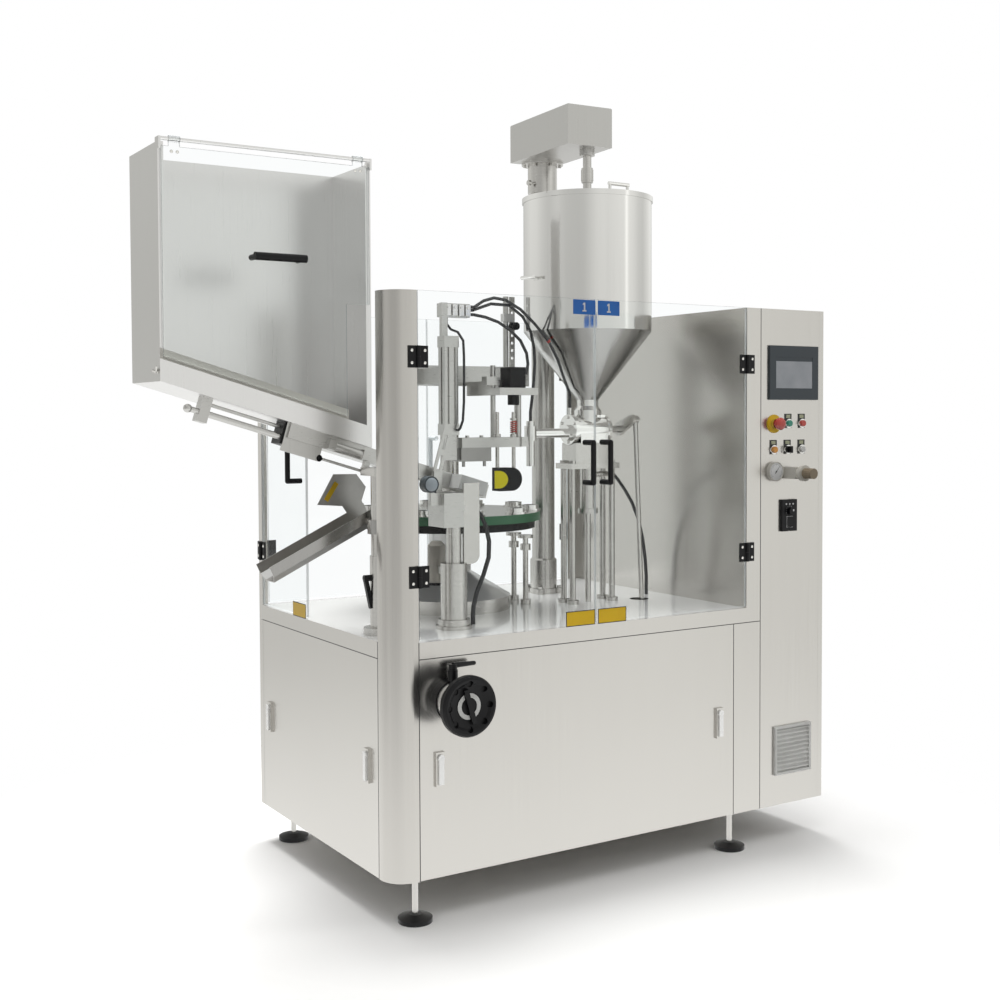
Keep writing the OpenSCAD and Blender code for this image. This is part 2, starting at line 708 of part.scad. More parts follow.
module hopper() color("lightgray") translate([hopper_x, hopper_y, 0]) {
    t = sheet;
    rotate_extrude() polygon([[hopper_r - t, wall_z], [hopper_r, wall_z], [hopper_r, hopper_top - rim_h],
        [hopper_r + rim_w, hopper_top - rim_h], [hopper_r + rim_w, hopper_top], [hopper_r - t, hopper_top]]);
    for (side = [-1, 1]) translate([side * (hopper_r - 1), 0, wall_z + 170]) rotate([0, 90 * side, 0]) {
        cylinder(h = 26, r = 5);
        translate([0, 0, 26]) rotate([90, 0, 0]) rod_z(0, 0, -35, 35, 6);
    }
    // fixed rear half of the lid, with the outer hinge knuckles and their pin
    difference() {
        lid_disc();
        translate([0, 0, hopper_top - cut]) cylinder(h = lid_t + 2 * cut, r = lid_hole_r);
        span([-2 * hopper_r, -2 * hopper_r, hopper_top - cut],
            [2 * hopper_r, lid_split_y + lid_gap, hopper_top + lid_t + cut]);
    }
    for (x = [lid_knuckle_x, -2 * lid_knuckle_x]) {
        rod_x(lid_split_y, lid_hinge_z, x, x + lid_knuckle_x, lid_knuckle_r);
        span([x, lid_split_y, hopper_top + lid_t - 1], [x + lid_knuckle_x, lid_split_y + lid_knuckle_r, lid_hinge_z]);
        span([x, lid_split_y + lid_gap, hopper_top + lid_t - 1], [x + lid_knuckle_x, lid_split_y + 16, hopper_top + lid_t + 2]);
    }
    rod_x(lid_split_y, lid_hinge_z, -lid_knuckle_x - 5, lid_knuckle_x + 5, lid_pin_r);
}
module lid_disc() translate([0, 0, hopper_top]) cylinder(h = lid_t, r = hopper_r + rim_w);
module hopper_cone() color("lightgray") translate([hopper_x, hopper_y, 0]) rotate_extrude()
    polygon([[neck_r - sheet, cone_z], [neck_r, cone_z], [hopper_r, wall_z], [hopper_r - sheet, wall_z]]);
module hopper_neck() color("lightgray") translate([hopper_x, hopper_y, 0]) rotate_extrude()
    polygon([[neck_r - sheet, ferrule_z], [ferrule_r, ferrule_z], [ferrule_r, ferrule_z + ferrule_h / 2],
        [neck_r, ferrule_z + ferrule_h], [neck_r, cone_z], [neck_r - sheet, cone_z]]);
module hopper_lid() color("lightgray") translate([hopper_x, hopper_y, 0]) {
    difference() {
        lid_disc();
        span([-2 * hopper_r, lid_split_y - lid_gap, hopper_top - cut],
            [2 * hopper_r, 2 * hopper_r, hopper_top + lid_t + cut]);
    }
    difference() {
        union() {
            rod_x(lid_split_y, lid_hinge_z, eps - lid_knuckle_x, lid_knuckle_x - eps, lid_knuckle_r);
            span([eps - lid_knuckle_x, lid_split_y - lid_knuckle_r, hopper_top + lid_t - 1],
                [lid_knuckle_x - eps, lid_split_y, lid_hinge_z]);
            span([eps - lid_knuckle_x, lid_split_y - 16, hopper_top + lid_t - 1],
                [lid_knuckle_x - eps, lid_split_y - lid_gap, hopper_top + lid_t + 2]);
        }
        rod_x(lid_split_y, lid_hinge_z, -2 * lid_knuckle_x, 2 * lid_knuckle_x, lid_pin_r + running);
    }
    translate([0, -hopper_r + 40, hopper_top + lid_t]) {
        for (x = [-35, 35]) rod_z(x, 0, 0, 24, 5);
        rod_x(0, 24, -40, 40, 6);
    }
}

module main_column() color("silver") translate([hopper_x, mast_y, 0]) {
    flange_r = 51;
    flange_t = 18;
    ear_r = 14;
    sleeve_z = table_z + 123;
    clamp_z = mixer_z - 106;
    rod_z(0, 0, table_z, mixer_z, mast_r);
    rod_z(0, 0, table_z, table_z + flange_t, flange_r);
    for (a = [45:90:315]) rotate([0, 0, a]) {
        rod_z(flange_r + 4, 0, table_z, table_z + flange_t, ear_r);
        rod_z(flange_r + 6, 0, table_z + flange_t - 1, table_z + flange_t + 9, 8, $fn = 6);
    }
    rotate_extrude() polygon([[0, table_z + flange_t], [mast_r + 7, table_z + flange_t], [mast_r + 7, sleeve_z - 6],
        [mast_r + 1, sleeve_z], [0, sleeve_z]]);
    // clamp sleeve and flange that carry the mixer, with the clamp's thumb screw
    rod_z(0, 0, clamp_z, mixer_z, mast_r + 11);
    rod_z(0, 0, mixer_z - 9, mixer_z, 72);
    for (a = [30:60:330]) rotate([0, 0, a]) rod_z(61, 0, mixer_z - 16, mixer_z - 8, 5, $fn = 6);
    rod_x(-20, clamp_z + 30, -mast_r - 26, 0, 4);
    rod_x(-20, clamp_z + 30, -mast_r - 34, -mast_r - 24, 9);
}
module mixer_housing() color("lightgray") {
    fold = 2;
    half = mixer_w / 2;
    collar_h = 20;
    difference() {
        union() {
            translate([hopper_x, mast_y, 0]) rotate([0, 0, mixer_turn]) {
                low = [mixer_off - half, -mixer_front, mixer_z];
                span(low, low + [mixer_w, mixer_len, mixer_h - fold]);
                span(low + [fold, fold, mixer_h - 2 * fold], low + [mixer_w - fold, mixer_len - fold, mixer_h]);
            }
            rod_z(hopper_x, hopper_y, mixer_z - collar_h, mixer_z + 1, coupling_r + 6);
        }
        rod_z(hopper_x, hopper_y, mixer_z - collar_h - cut, mixer_z + 40, shaft_r + running);
    }
}
module mixer_shaft() color("silver") translate([hopper_x, hopper_y, 0]) {
    paddle_r = hopper_r - 45;
    low = wall_z + 30;
    high = hopper_top - 120;
    coupling_z = [mixer_z - 108, mixer_z - 60];
    rod_z(0, 0, low - 90, mixer_z + 38, shaft_r);
    rod_z(0, 0, coupling_z[0], coupling_z[1], coupling_r);
    rod_z(0, 0, coupling_z[0] + 6, coupling_z[1] - 6, coupling_r + 1.5);
    for (z = [low, high]) rod_x(0, z, -paddle_r, paddle_r, 9);
    for (x = [-paddle_r, paddle_r]) span([x - 10, -4, low - 10], [x + 10, 4, high + 10]);
}

module filling_valve() color("silver") {
    // three-way valve body between its end plates, under the hopper's clamp ferrule
    flange_r = valve_r + 8;
    difference() {
        union() {
            rod_x(hopper_y, valve_z, valve_x0, valve_x1, valve_r);
            rod_x(hopper_y, valve_z, valve_x0 - valve_flange_t, valve_x0, flange_r);
            rod_x(hopper_y, valve_z, valve_x1, valve_x1 + 10, valve_r + 4);
            rod_z(hopper_x, hopper_y, valve_z, ferrule_z, neck_r);
            rod_z(hopper_x, hopper_y, ferrule_z - 12, ferrule_z, ferrule_r);
            span([hopper_x - 55, hopper_y - 40, pump_top], [hopper_x + 55, hopper_y + 40, valve_z]);
        }
        rod_z(hopper_x, hopper_y, valve_z, ferrule_z + cut, neck_r - sheet);
        rod_x(hopper_y, valve_z, hopper_x, valve_x1 + 10 + cut, lever_shaft_r + running);
    }
    for (a = [0:60:300]) translate([valve_x0 - valve_flange_t, hopper_y, valve_z]) rotate([a, 0, 0])
        translate([-5, 0, flange_r - 9]) rotate([0, 90, 0]) cylinder(h = 6, r = 5, $fn = 6);
    rod_z(air_port_x, hopper_y, valve_z + flange_r - 4, valve_z + flange_r + air_port_h, 6);
    // clamp's wing nut, in front of the ferrule
    translate([hopper_x + 12, hopper_y - ferrule_r, ferrule_z - 6]) {
        rod_y(0, 0, -16, 4, 5);
        span([-16, -14, -4], [16, -8, 4]);
    }
    // delivery pipe and nozzle
    rod_x(hopper_y, pipe_z, nozzle_x, valve_x0 - valve_flange_t, pipe_r);
    rod_x(hopper_y, pipe_z, valve_x0 - valve_flange_t - 12, valve_x0 - valve_flange_t, pipe_r + 12);
    rod_z(nozzle_x, hopper_y, nozzle_tip, pipe_z + 40, nozzle_r);
    rod_z(nozzle_x, hopper_y, pipe_z - 24, pipe_z + 24, nozzle_r + 6);
}
module valve_lever() color("silver") {
    rod_x(hopper_y, valve_z, hopper_x + 4, lever_x + lever_t, lever_shaft_r);
    hull() {
        rod_x(hopper_y, valve_z, lever_x, lever_x + lever_t, 22, $fn = 32);
        rod_x(hopper_y + lever_end[0], valve_z + lever_end[1], lever_x, lever_x + lever_t, 16, $fn = 32);
    }
    rod_x(hopper_y + lever_end[0], valve_z + lever_end[1], lever_x + lever_t, lever_x + lever_t + 2 * rod_r + 10, 5);
}
module valve_rod() color("silver") {
    eye_x0 = lever_x + lever_t + eps;
    eye_x = lever_x + lever_t + rod_r;
    eye_y = hopper_y + lever_end[0];
    eye_z = valve_z + lever_end[1];
    difference() {
        union() {
            rod_x(eye_y, eye_z, eye_x0, eye_x0 + 2 * rod_r, 13);
            drop = eye_z - rod_bottom;
            lean = rod_lean * drop / (eye_z - table_z);
            translate([eye_x + eps, eye_y, eye_z])
                rotate([0, 180 - atan2(lean[0], drop), 0]) rotate([-atan2(lean[1], drop), 0, 0])
                    cylinder(h = norm([lean[0], lean[1], drop]), r = rod_r);
        }
        rod_x(eye_y, eye_z, eye_x0 - cut, eye_x0 + 2 * rod_r + cut, 5 + running);
    }
}
module metering_pump() color("silver") {
    block_z = pump_top - pump_block[2];
    plate_z = block_z - pump_plate[2];
    low = plate_z - pump_h;
    port_z = valve_z - pump_port_drop;
    translate([hopper_x, pump_y, 0]) {
        difference() {
            union() {
                rod_z(0, 0, low, plate_z, pump_r);
                rod_z(0, 0, low, low + 16, pump_r + 8);
                span([-pump_block[0] / 2, -pump_block[1] / 2, block_z], [pump_block[0] / 2, pump_block[1] / 2, pump_top]);
                span([-pump_plate[0] / 2, -pump_plate[1] / 2, plate_z], [pump_plate[0] / 2, pump_plate[1] / 2, block_z]);
            }
            rod_z(0, 0, low - cut, pump_top - 30, piston_r + 4);
            // saddles that clear the valve's end plates
            rod_x(hopper_y - pump_y, valve_z, -pump_block[0], valve_x0 - hopper_x + cut, valve_r + 8 + cut);
            rod_x(hopper_y - pump_y, valve_z, valve_x1 - hopper_x - cut, pump_block[0], valve_r + 4 + cut);
        }
        rod_x(0, port_z, pump_r - 4, pump_port, 9);
        for (x = [-tie_x, tie_x], y = [-tie_y, tie_y]) {
            rod_z(x, y, table_z, plate_z, tie_r);
            rod_z(x, y, table_z, table_z + 12, 2 * tie_r);
            rod_z(x, y, block_z, block_z + 9, 1.3 * tie_r, $fn = 6);
        }
    }
}
module pump_piston() color("lightgray")
    rod_z(hopper_x, pump_y, frame_top - piston_drop, pump_top - 100, piston_r);

module turntable_base() color("gray") translate([table_x, table_y, 0]) {
    rod_z(0, 0, table_z, table_z + drum_h, drum_r);
    translate([0, 0, table_z + drum_h]) cylinder(h = hub_z0 - table_z - drum_h, r1 = drum_r, r2 = hub_r);
    rod_z(0, 0, hub_z0, turntable_z - eps, hub_r);
}
module turntable() color("seagreen") translate([table_x, table_y, 0]) difference() {
    union() {
        rod_z(0, 0, turntable_z, turntable_z + turntable_step, turntable_r - turntable_in);
        rod_z(0, 0, turntable_z + turntable_step, turntable_top, turntable_r);
    }
    rod_z(0, 0, turntable_z - cut, turntable_top + cut, turntable_bore_r);
}
module tube_cups() color("white") translate([table_x, table_y, 0])
    for (k = [0:stations - 1]) rotate([0, 0, 360 * k / stations - 31]) translate([cup_circle_r, 0, turntable_top])
        difference() {
            union() {
                cylinder(h = 6, r = cup_r);
                cylinder(h = cup_h, r = cup_r - 6);
            }
            translate([0, 0, 6]) cylinder(h = cup_h, r = cup_bore_r);
        }
module tube_lifters() color("silver") for (p = lifter_at) {
    rod_z(p[0], p[1], frame_top - 60, lifter_top, lifter_r);
    rod_z(p[0], p[1], lifter_top - 10, lifter_top, 26);
    rod_z(p[0], p[1], lifter_top - 50, lifter_top - 30, 17);
    rod_z(p[0], p[1], table_z + eps, table_z + 16, 17);
    span([lifter_at[0][0] - 12, lifter_at[0][1] - 12, frame_top - 60],
        [lifter_at[1][0] + 12, lifter_at[1][1] + 12, frame_top - 50]);
}

module station_frame() color("silver") {
    station_beam();
    sealing_tower();
    feed_actuator();
    front_guide();
}
// Centre post and beam, with the height scale and its clamp
module station_beam() {
    beam_top = beam_z0 + beam_h;
    scale_x = beam_x[1] - 76;
    scale_top = table_z + 1016;
    rod_z(table_x, table_y, turntable_z - eps, beam_z0, center_post_r);
    span([beam_x[0], beam_y[0], beam_z0], [beam_x[1], beam_y[1], beam_top]);
    rod_z(scale_x, table_y, beam_top, scale_top, 9);
    difference() {
        span([scale_x + 14, table_y - 3, beam_top], [scale_x + 34, table_y + 3, scale_top]);
        for (z = [beam_top + 30:25:scale_top - 10]) rod_y(scale_x + 24, z, table_y - 4, table_y + 4, 5);
    }
    span([scale_x - 12, table_y - 12, beam_top + 150], [scale_x + 24, table_y + 12, beam_top + 176]);
    rod_y(scale_x + 24, beam_top + 135, table_y - 30, table_y, 13);
}
// Two plates on posts, hung from the beam, which guide the sealing head
module sealing_tower() {
    y0 = tower_y - 35;
    y1 = tower_y + 35;
    low_top = tower_low + tower_plate_t;
    high_top = tower_high + top_plate_t;
    cylinder_h = 31;
    press_x = tower_x + guide_x;
    span([tower_x - 12, tower_y + 20, tower_high], [tower_x + 12, beam_y[0], beam_z0 + 12]);
    difference() {
        union() {
            span([tower_x - 41, y0, tower_high], [tower_x + 99, y1, high_top]);
            rod_z(press_x, tower_y, tower_high - cylinder_h, tower_high, 18);
        }
        rod_z(press_x, tower_y, tower_high - cylinder_h - cut, high_top - 4, guide_r + running);
    }
    span([tower_x + 1, y0 + 5, high_top], [tower_x + 56, y1 - 5, high_top + 64]);
    difference() {
        translate([0, 0, tower_low]) linear_extrude(tower_plate_t)
            polygon([[tower_x - 176, y0], [tower_x + 30, y0], [tower_x + 55, y0 + 25], [tower_x + 78, y0 + 25],
                [tower_x + 78, y1], [tower_x - 176, y1]]);
        for (x = [-guide_x, guide_x]) rod_z(tower_x + x, tower_y, tower_low - cut, low_top + cut, guide_r + running);
    }
    rod_z(tower_x - 41 + 10, y1 - 12, low_top, high_top + 70, 8);
    span([tower_x - 62, y1 - 27, high_top + 8], [tower_x - 14, y1 + 3, high_top + 35]);
    rod_z(tower_x + 60, y1 - 13, low_top, high_top + 60, 11);
    // clamp block and pins under the lower plate
    span([tower_x - 176, y0 + 5, tower_low - 42], [tower_x - 70, y1 - 5, tower_low]);
    for (x = [-160, -86]) rod_z(tower_x + x, y0 + 20, tower_low - 58, tower_low - 42, 5);
    for (x = [-150, -100, 12]) rod_z(tower_x + x, y0 + 14, low_top, low_top + 7, 7, $fn = 6);
}
// Profiled air cylinder with its end caps, and the valve manifold above it
module feed_actuator() {
    x = actuator_at[0];
    y = actuator_at[1];
    half = actuator_w / 2;
    front = y - actuator_d / 2;
    back = y + actuator_d / 2;
    cap = 2;
    difference() {
        span([x - half, front, actuator_z[0]], [x + half, back, actuator_z[1]]);
        for (k = [-11, 11]) span([x + k - 3, front - cut, actuator_z[0] - cut], [x + k + 3, front + 5, actuator_z[1] + cut]);
        for (side = [-1, 1]) translate([x + side * half, y, actuator_z[0] - cut])
            span([-5, -4, 0], [5, 4, actuator_z[1] - actuator_z[0] + 2 * cut]);
    }
    for (z = [actuator_z[0], actuator_z[1] - end_cap_h])
        span([x - half - cap, front - cap, z], [x + half + cap, back + cap, z + end_cap_h]);
    span([x - 20, y - 14, actuator_z[0] - 76], [x + 20, y + 14, actuator_z[0]]);
    span([x - 15, back, beam_z0], [x + 15, beam_y[0], beam_z0 + 50]);
    span([x - 10, back, actuator_z[1] - 40], [x + 10, back + 15, manifold_z + manifold_h]);
    span([manifold_x[0], back + 15, manifold_z], [manifold_x[1], back + 45, manifold_z + manifold_h]);
    for (k = [0:3]) translate([manifold_x[0] + 8 + 23 * k, back + 15, manifold_z + 4]) {
        span([0, -14, 0], [17, 1, manifold_h - 8]);
        rod_y(8.5, 24, -18, 0, 4);
    }
}
// Front post with the tube guide: a block, a hanging guide plate, the sensor and the slotted bracket
module front_guide() {
    x = front_post_at[0];
    y = front_post_at[1];
    block_top = front_post_top + front_block_h;
    plate_t = 8;
    plate_z = [table_z + 187, table_z + 425];
    plate_r = 26;
    rod_z(x, y, table_z, table_z + 10, 54);
    rod_z(x, y, table_z + 10, table_z + 28, 47);
    rod_z(x, y, table_z + 28, table_z + 192, 39);
    rod_z(x, y, table_z + 192, front_post_top, 22);
    span([front_block[0][0], front_block[0][1], front_post_top], [front_block[1][0], front_block[1][1], block_top]);
    rod_x(y - 10, block_top - 45, front_block[1][0], guide_plate_x[0], 12);
    translate([0, y - 10 + plate_t / 2, 0]) rotate([90, 0, 0]) linear_extrude(plate_t) {
        translate([guide_plate_x[0], plate_z[0] + plate_r]) square([guide_plate_x[1] - guide_plate_x[0], plate_z[1] - plate_z[0] - plate_r]);
        translate([guide_plate_x[0], plate_z[0]]) square([guide_plate_x[1] - guide_plate_x[0] - plate_r, plate_r]);
        translate([guide_plate_x[1] - plate_r, plate_z[0] + plate_r]) circle(plate_r);
    }
    // sensor with its recessed lens, on an arm from the block
    difference() {
        rod_y(lens_at[0], lens_at[1], y - 30, y, lens_r);
        rod_y(lens_at[0], lens_at[1], y - 30 - cut, y - 26, lens_r - 7);
    }
    span([lens_at[0] + 8, y - 12, block_top - 35], [front_block[0][0] + 1, y, block_top]);
    span([lens_at[0] + 8, y - 12, block_top - 35], [lens_at[0] + 26, y, lens_at[1]]);
    // slotted bracket square to the feed rail, on a foot that stands on the block
    span([262, front_block[1][1] - 10, block_top], [288, front_block[1][1], block_top + 62]);
    translate([274, front_block[1][1], table_z + 442]) rotate([0, feed_slope, 0]) difference() {
        span([-14, 0, -10], [14, 6, 148]);
        for (z = [22, 84]) span([-5, -cut, z], [5, 6 + cut, z + 44]);
    }
    // spray can on a bracket from the post's sleeve
    rod_z(can_at[0], can_at[1], table_z + 113, table_z + 121, can_r + 2);
    rod_z(can_at[0], can_at[1], table_z + 121, table_z + 232, can_r);
    translate([can_at[0], can_at[1], table_z + 232]) cylinder(h = 13, r1 = can_r, r2 = can_r - 12);
    span([can_at[0] - 10, y + 20, table_z + 150], [can_at[0] + 6, can_at[1] - can_r + 6, table_z + 172]);
}
module sealing_head() color("dimgray") {
    radius = head_h / 2;
    collar_z = tower_low + tower_plate_t + eps;
    translate([0, head_y[1], head_z]) rotate([90, 0, 0]) linear_extrude(head_y[1] - head_y[0]) {
        translate([tower_x - head_w / 2, 0]) square([head_w - radius, head_h]);
        translate([tower_x + head_w / 2 - radius, radius]) circle(radius);
    }
    for (x = [-guide_x, guide_x]) {
        rod_z(tower_x + x, tower_y, head_z + radius, collar_z + 78, guide_r);
        rod_z(tower_x + x, tower_y, collar_z, collar_z + 10, guide_r + 5);
    }
    rod_z(tower_x + guide_x, tower_y, collar_z + 52, collar_z + 59, guide_r + 5);
}

// The sloped frame of the magazine floor: x runs down the slope, z stands square to it
module on_slope() translate([magazine_x0, 0, floor_left_z]) rotate([0, feed_slope, 0]) children();

module tube_magazine() color("lightgray") {
    slope_len = magazine_w / cos(feed_slope);
    y1 = magazine_y0 + magazine_d;
    right_z = floor_z(magazine_x1);
    flange = 16;
    on_slope() span([sheet, magazine_y0, -sheet], [slope_len, y1, 0]);
    span([magazine_x0, magazine_y0, floor_left_z - sheet], [magazine_x0 + sheet, y1, magazine_top]);
    span([magazine_x1 - sheet, magazine_y0, right_z], [magazine_x1, y1, magazine_top]);
    // folded front flanges of both side walls
    span([magazine_x0, magazine_y0, floor_left_z], [magazine_x0 + flange, magazine_y0 + sheet, magazine_top]);
    span([magazine_x1 - flange, magazine_y0, right_z], [magazine_x1, magazine_y0 + sheet, magazine_top]);
    translate([0, y1, 0]) rotate([90, 0, 0]) linear_extrude(sheet)
        polygon([[magazine_x0, floor_left_z - sheet], [magazine_x1, right_z - sheet], [magazine_x1, magazine_top],
            [magazine_x0, magazine_top]]);
    // front lip, with a bar along its upper edge that stops short of the outlet
    lip_top = lip_h - lip_bar_h;
    translate([0, magazine_y0 + sheet, 0]) rotate([90, 0, 0]) {
        linear_extrude(sheet)
            polygon([[magazine_x0, floor_left_z - sheet], [magazine_x1, right_z - sheet], [magazine_x1, right_z + lip_top],
                [magazine_x0, floor_left_z + lip_top]]);
        linear_extrude(sheet + 1)
            polygon([[magazine_x0, floor_left_z + lip_top], [lip_bar_x1, floor_z(lip_bar_x1) + lip_top],
                [lip_bar_x1, floor_z(lip_bar_x1) + lip_h], [magazine_x0, floor_left_z + lip_h]]);
    }
    // hinge rod in its two blocks
    rod_x(magazine_y0 - 5, hinge_rod_z + 4, magazine_x0, magazine_x1, hinge_rod_r);
    for (x = [magazine_x0, magazine_x1 - 6])
        span([x, magazine_y0 - 10, magazine_top - 20], [x + 6, magazine_y0 + 20, hinge_rod_z + 9]);
}
module magazine_cover() color("lightcyan") {
    x0 = magazine_x0 + 8;
    x1 = magazine_x1 - 8;
    low = lip_h - 20;
    axis_z = hinge_rod_z + 4;
    step_z = axis_z - norm([axis_z - guard_z, cover_y - 2 - column_d]) + cover_clear;
    translate([0, magazine_y0 - 2, 0]) rotate([90, 0, 0]) linear_extrude(cover_t)
        polygon([[x0, floor_z(x0) + low], [-cover_clear, floor_z(-cover_clear) + low], [-cover_clear, step_z],
            [x1, step_z], [x1, magazine_top - 12], [x0, magazine_top - 12]]);
    for (x = [x0 + 20, x1 - 50]) difference() {
        union() {
            rod_x(magazine_y0 - 5, hinge_rod_z + 4, x, x + 30, hinge_rod_r + 4);
            span([x, magazine_y0 - 8, magazine_top - 40], [x + 30, magazine_y0 - 2, hinge_rod_z]);
        }
        rod_x(magazine_y0 - 5, hinge_rod_z + 4, x - cut, x + 30 + cut, hinge_rod_r + running);
    }
    grip_y = cover_y - 2 - handle_reach;
    grip_z = magazine_top - 290;
    grip_x = [-300, -150];
    rod_x(grip_y, grip_z, grip_x[0], grip_x[1], 11);
    for (x = [grip_x[0] + 8, grip_x[1] - 8]) rod_y(x, grip_z, grip_y, cover_y - 2, 8);
}
module feed_rail() color("silver") {
    x0 = (rail_x[0] - magazine_x0) / cos(feed_slope);
    x1 = (rail_x[1] - magazine_x0) / cos(feed_slope);
    low = -sheet - rail_h;
    block_x = [134, 162];
    plate_x = [x0 - 8, x0 + 112];
    on_slope() {
        for (y = rail_y) span([x0, y, low], [x1, y + rail_t, -sheet]);
        span([x0, rail_y[0] + 1, low], [x1, rail_y[1] + 1, low + 4]);
        // slide unit: two blocks joined by a thin and a thick rod, and the carrier plate
        span([block_x[0], 278, -72], [block_x[1], 318, -sheet]);
        translate([block_x[1] - 5, 290, -46]) rotate([0, 90, 0]) cylinder(h = x0 - block_x[1] + 10, r = 9);
        translate([block_x[1] - 5, 306, -18]) rotate([0, 90, 0]) cylinder(h = x0 - block_x[1] + 10, r = 5);
        span([x0 - 14, 275, -66], [x0 + 20, rail_y[1] + rail_t, -sheet]);
        span([plate_x[0], 270, -84], [plate_x[1], 276, -sheet]);
        translate([block_x[0] + 4, 290, -46]) rotate([0, -90, 0]) {
            cylinder(h = 34, r = 8);
            translate([0, 0, 34]) sphere(12);
        }
        // air cylinder in front of the rail, and its push rod with a ball end
        air_x = x0 + 116;
        for (x = [air_x, air_x + 110]) span([x, rail_y[0] - 26, -44], [x + 22, rail_y[0], -16]);
        translate([air_x, rail_y[0] - 13, -30]) rotate([0, 90, 0]) cylinder(h = 130, r = 11);
        translate([plate_x[1] - 4, 273, -74]) rotate([0, 90, 0]) cylinder(h = 160, r = 4);
        translate([plate_x[1], 273, -74]) sphere(10);
        span([plate_x[1] + 138, 266, -80], [plate_x[1] + 156, 280, low + 1]);
        // guide block on the rail's lower end
        span([(345 - magazine_x0) / cos(feed_slope), rail_y[0] - 60, -46], [(435 - magazine_x0) / cos(feed_slope), rail_y[0] + 1, -4]);
    }
    bracket_z = floor_z(feed_post_at[0]) - rail_h - 18;
    rod_z(feed_post_at[0], feed_post_at[1], table_z, bracket_z, feed_post_r);
    rod_z(feed_post_at[0], feed_post_at[1], table_z, table_z + 20, 45);
    rod_z(feed_post_at[0], feed_post_at[1], table_z + 20, feed_sleeve_top, feed_post_r + 4);
    span([feed_post_at[0] - 24, feed_post_at[1] - 24, bracket_z - 24], [feed_post_at[0] + 24, rail_y[0] + rail_t / 2, bracket_z]);
    // the sleeve's clamp lever, hanging down
    translate([feed_post_at[0] - feed_post_r - 20, feed_post_at[1], feed_sleeve_top - 62]) {
        rod_x(0, 0, -6, 20, 9);
        rotate([0, -12, 0]) translate([-7, -6, -88]) cube([12, 12, 92]);
    }
}
module discharge_chute() color("lightgray") {
    z0 = table_z + chute_from[2];
    hood_base = chute_side - 2;
    translate([chute_from[0], chute_from[1], z0]) rotate([0, -chute_slope, 0]) {
        rotate([90, 0, 90]) linear_extrude(chute_len) difference() {
            chute_section(0);
            chute_section(chute_t);
        }
        // hood over the upper end: a cut sheet that stands on the far side
        translate([0, chute_w, 0]) rotate([90, 0, 0]) linear_extrude(chute_t)
            polygon([[239, 114], [323, 171], [389, 138], [400, 90], [chute_len - 2, 60], [chute_len - 2, hood_base],
                [312, hood_base], [308, 74]]);
    }
    ring_z = z0 + (feed_post_at[0] - chute_from[0]) * tan(chute_slope) - 12;
    difference() {
        union() {
            rod_z(feed_post_at[0], feed_post_at[1], ring_z, ring_z + 40, feed_post_r + 10);
            span([feed_post_at[0] - 12, feed_post_at[1], ring_z + 26], [feed_post_at[0] + 12, chute_from[1] + chute_t, ring_z + 40]);
        }
        rod_z(feed_post_at[0], feed_post_at[1], ring_z - cut, ring_z + 40 + cut, feed_post_r + eps);
    }
}
// The chute's folded section, drawn in by a wall thickness and open at the top
module chute_section(inset) {
    slope_in = inset * tan(22.5);
    polygon([[inset, chute_fold + slope_in], [chute_fold + slope_in, inset], [chute_w - chute_fold - slope_in, inset],
        [chute_w - inset, chute_fold + slope_in], [chute_w - inset, chute_side + inset], [inset, chute_side + inset]]);
}
module air_hoses() color("dimgray") {
    hose(hose_front, hose_front_r);
    hose(hose_valve, hose_valve_r);
    hose(hose_loop, hose_loop_r);
    hose(hose_arc, hose_arc_r);
    hose(hose_tower, hose_tower_r);
    hose(hose_actuator, hose_actuator_r);
}

module drive_unit() color("slategray") {
    x = wheel_at[0];
    z = wheel_at[1];
    difference() {
        union() {
            rod_y(x, z, wheel_ring_t - wheel_housing_t, 0, wheel_housing_r);
            rod_y(x, z, -wheel_housing_t, 0, wheel_ring_r);
            rod_z(x, -wheel_housing_t / 2, z + wheel_ring_r - 8, z + clamp_up, 14);
        }
        rod_y(x, z, -wheel_housing_t - cut, cut, wheel_shaft_r + running);
        rod_z(x, -wheel_housing_t / 2, z + clamp_up - 12, z + clamp_up + cut, 5 + running);
    }
    difference() {
        union() {
            span([x - 60, sheet + tube_w + 4, z - 60], [x + 60, 160, z + 60]);
            rod_y(x, z, 160, table_y - 60, 15);
            span([x - 60, table_y - 60, z - 60], [x + 60, table_y + 60, z + 60]);
            rod_z(x, table_y, z - 320, z - 60, 70);
            rod_x(table_y, z, x + 60, table_x - 100, 15);
            span([table_x - 100, table_y - 100, z - 40], [table_x + 100, table_y + 100, frame_top]);
        }
        rod_y(x, z, sheet, 140, wheel_shaft_r + running);
    }
}
module handwheel() color("black") translate([wheel_at[0], 0, wheel_at[1]]) {
    face = wheel_front - dish_depth;
    back = wheel_housing_t + eps;
    difference() {
        rotate([90, 0, 0]) rotate_extrude() polygon([[0, back], [44, back], [wheel_r - 22, wheel_back - 16],
            [wheel_r - 3, wheel_back], [wheel_r, wheel_back + 5], [wheel_r, wheel_front - 8],
            [wheel_r - 4, wheel_front - 1.5], [wheel_r - 10, wheel_front], [wheel_r - 17, wheel_front - 2],
            [wheel_r - 24, wheel_front - 8], [dial_r[1] + 3, face], [0, face]]);
        for (k = [0:scallops - 1]) rotate([0, 360 * k / scallops, 0])
            rod_y(wheel_r - 22, 0, -wheel_front - cut, -wheel_front + dish_depth, 9);
    }
    difference() {
        rod_y(0, 0, -face - 2, -face, dial_r[1]);
        rod_y(0, 0, -face - 2 - cut, -face, dial_r[0]);
    }
    rotate([0, bar_tilt, 0])
        span([-bar_size[0] / 2, -wheel_front + 1, -bar_size[1] / 2], [bar_size[0] / 2, -face, bar_size[1] / 2]);
    rod_y(0, 0, -wheel_housing_t - cut, 138, wheel_shaft_r);
}
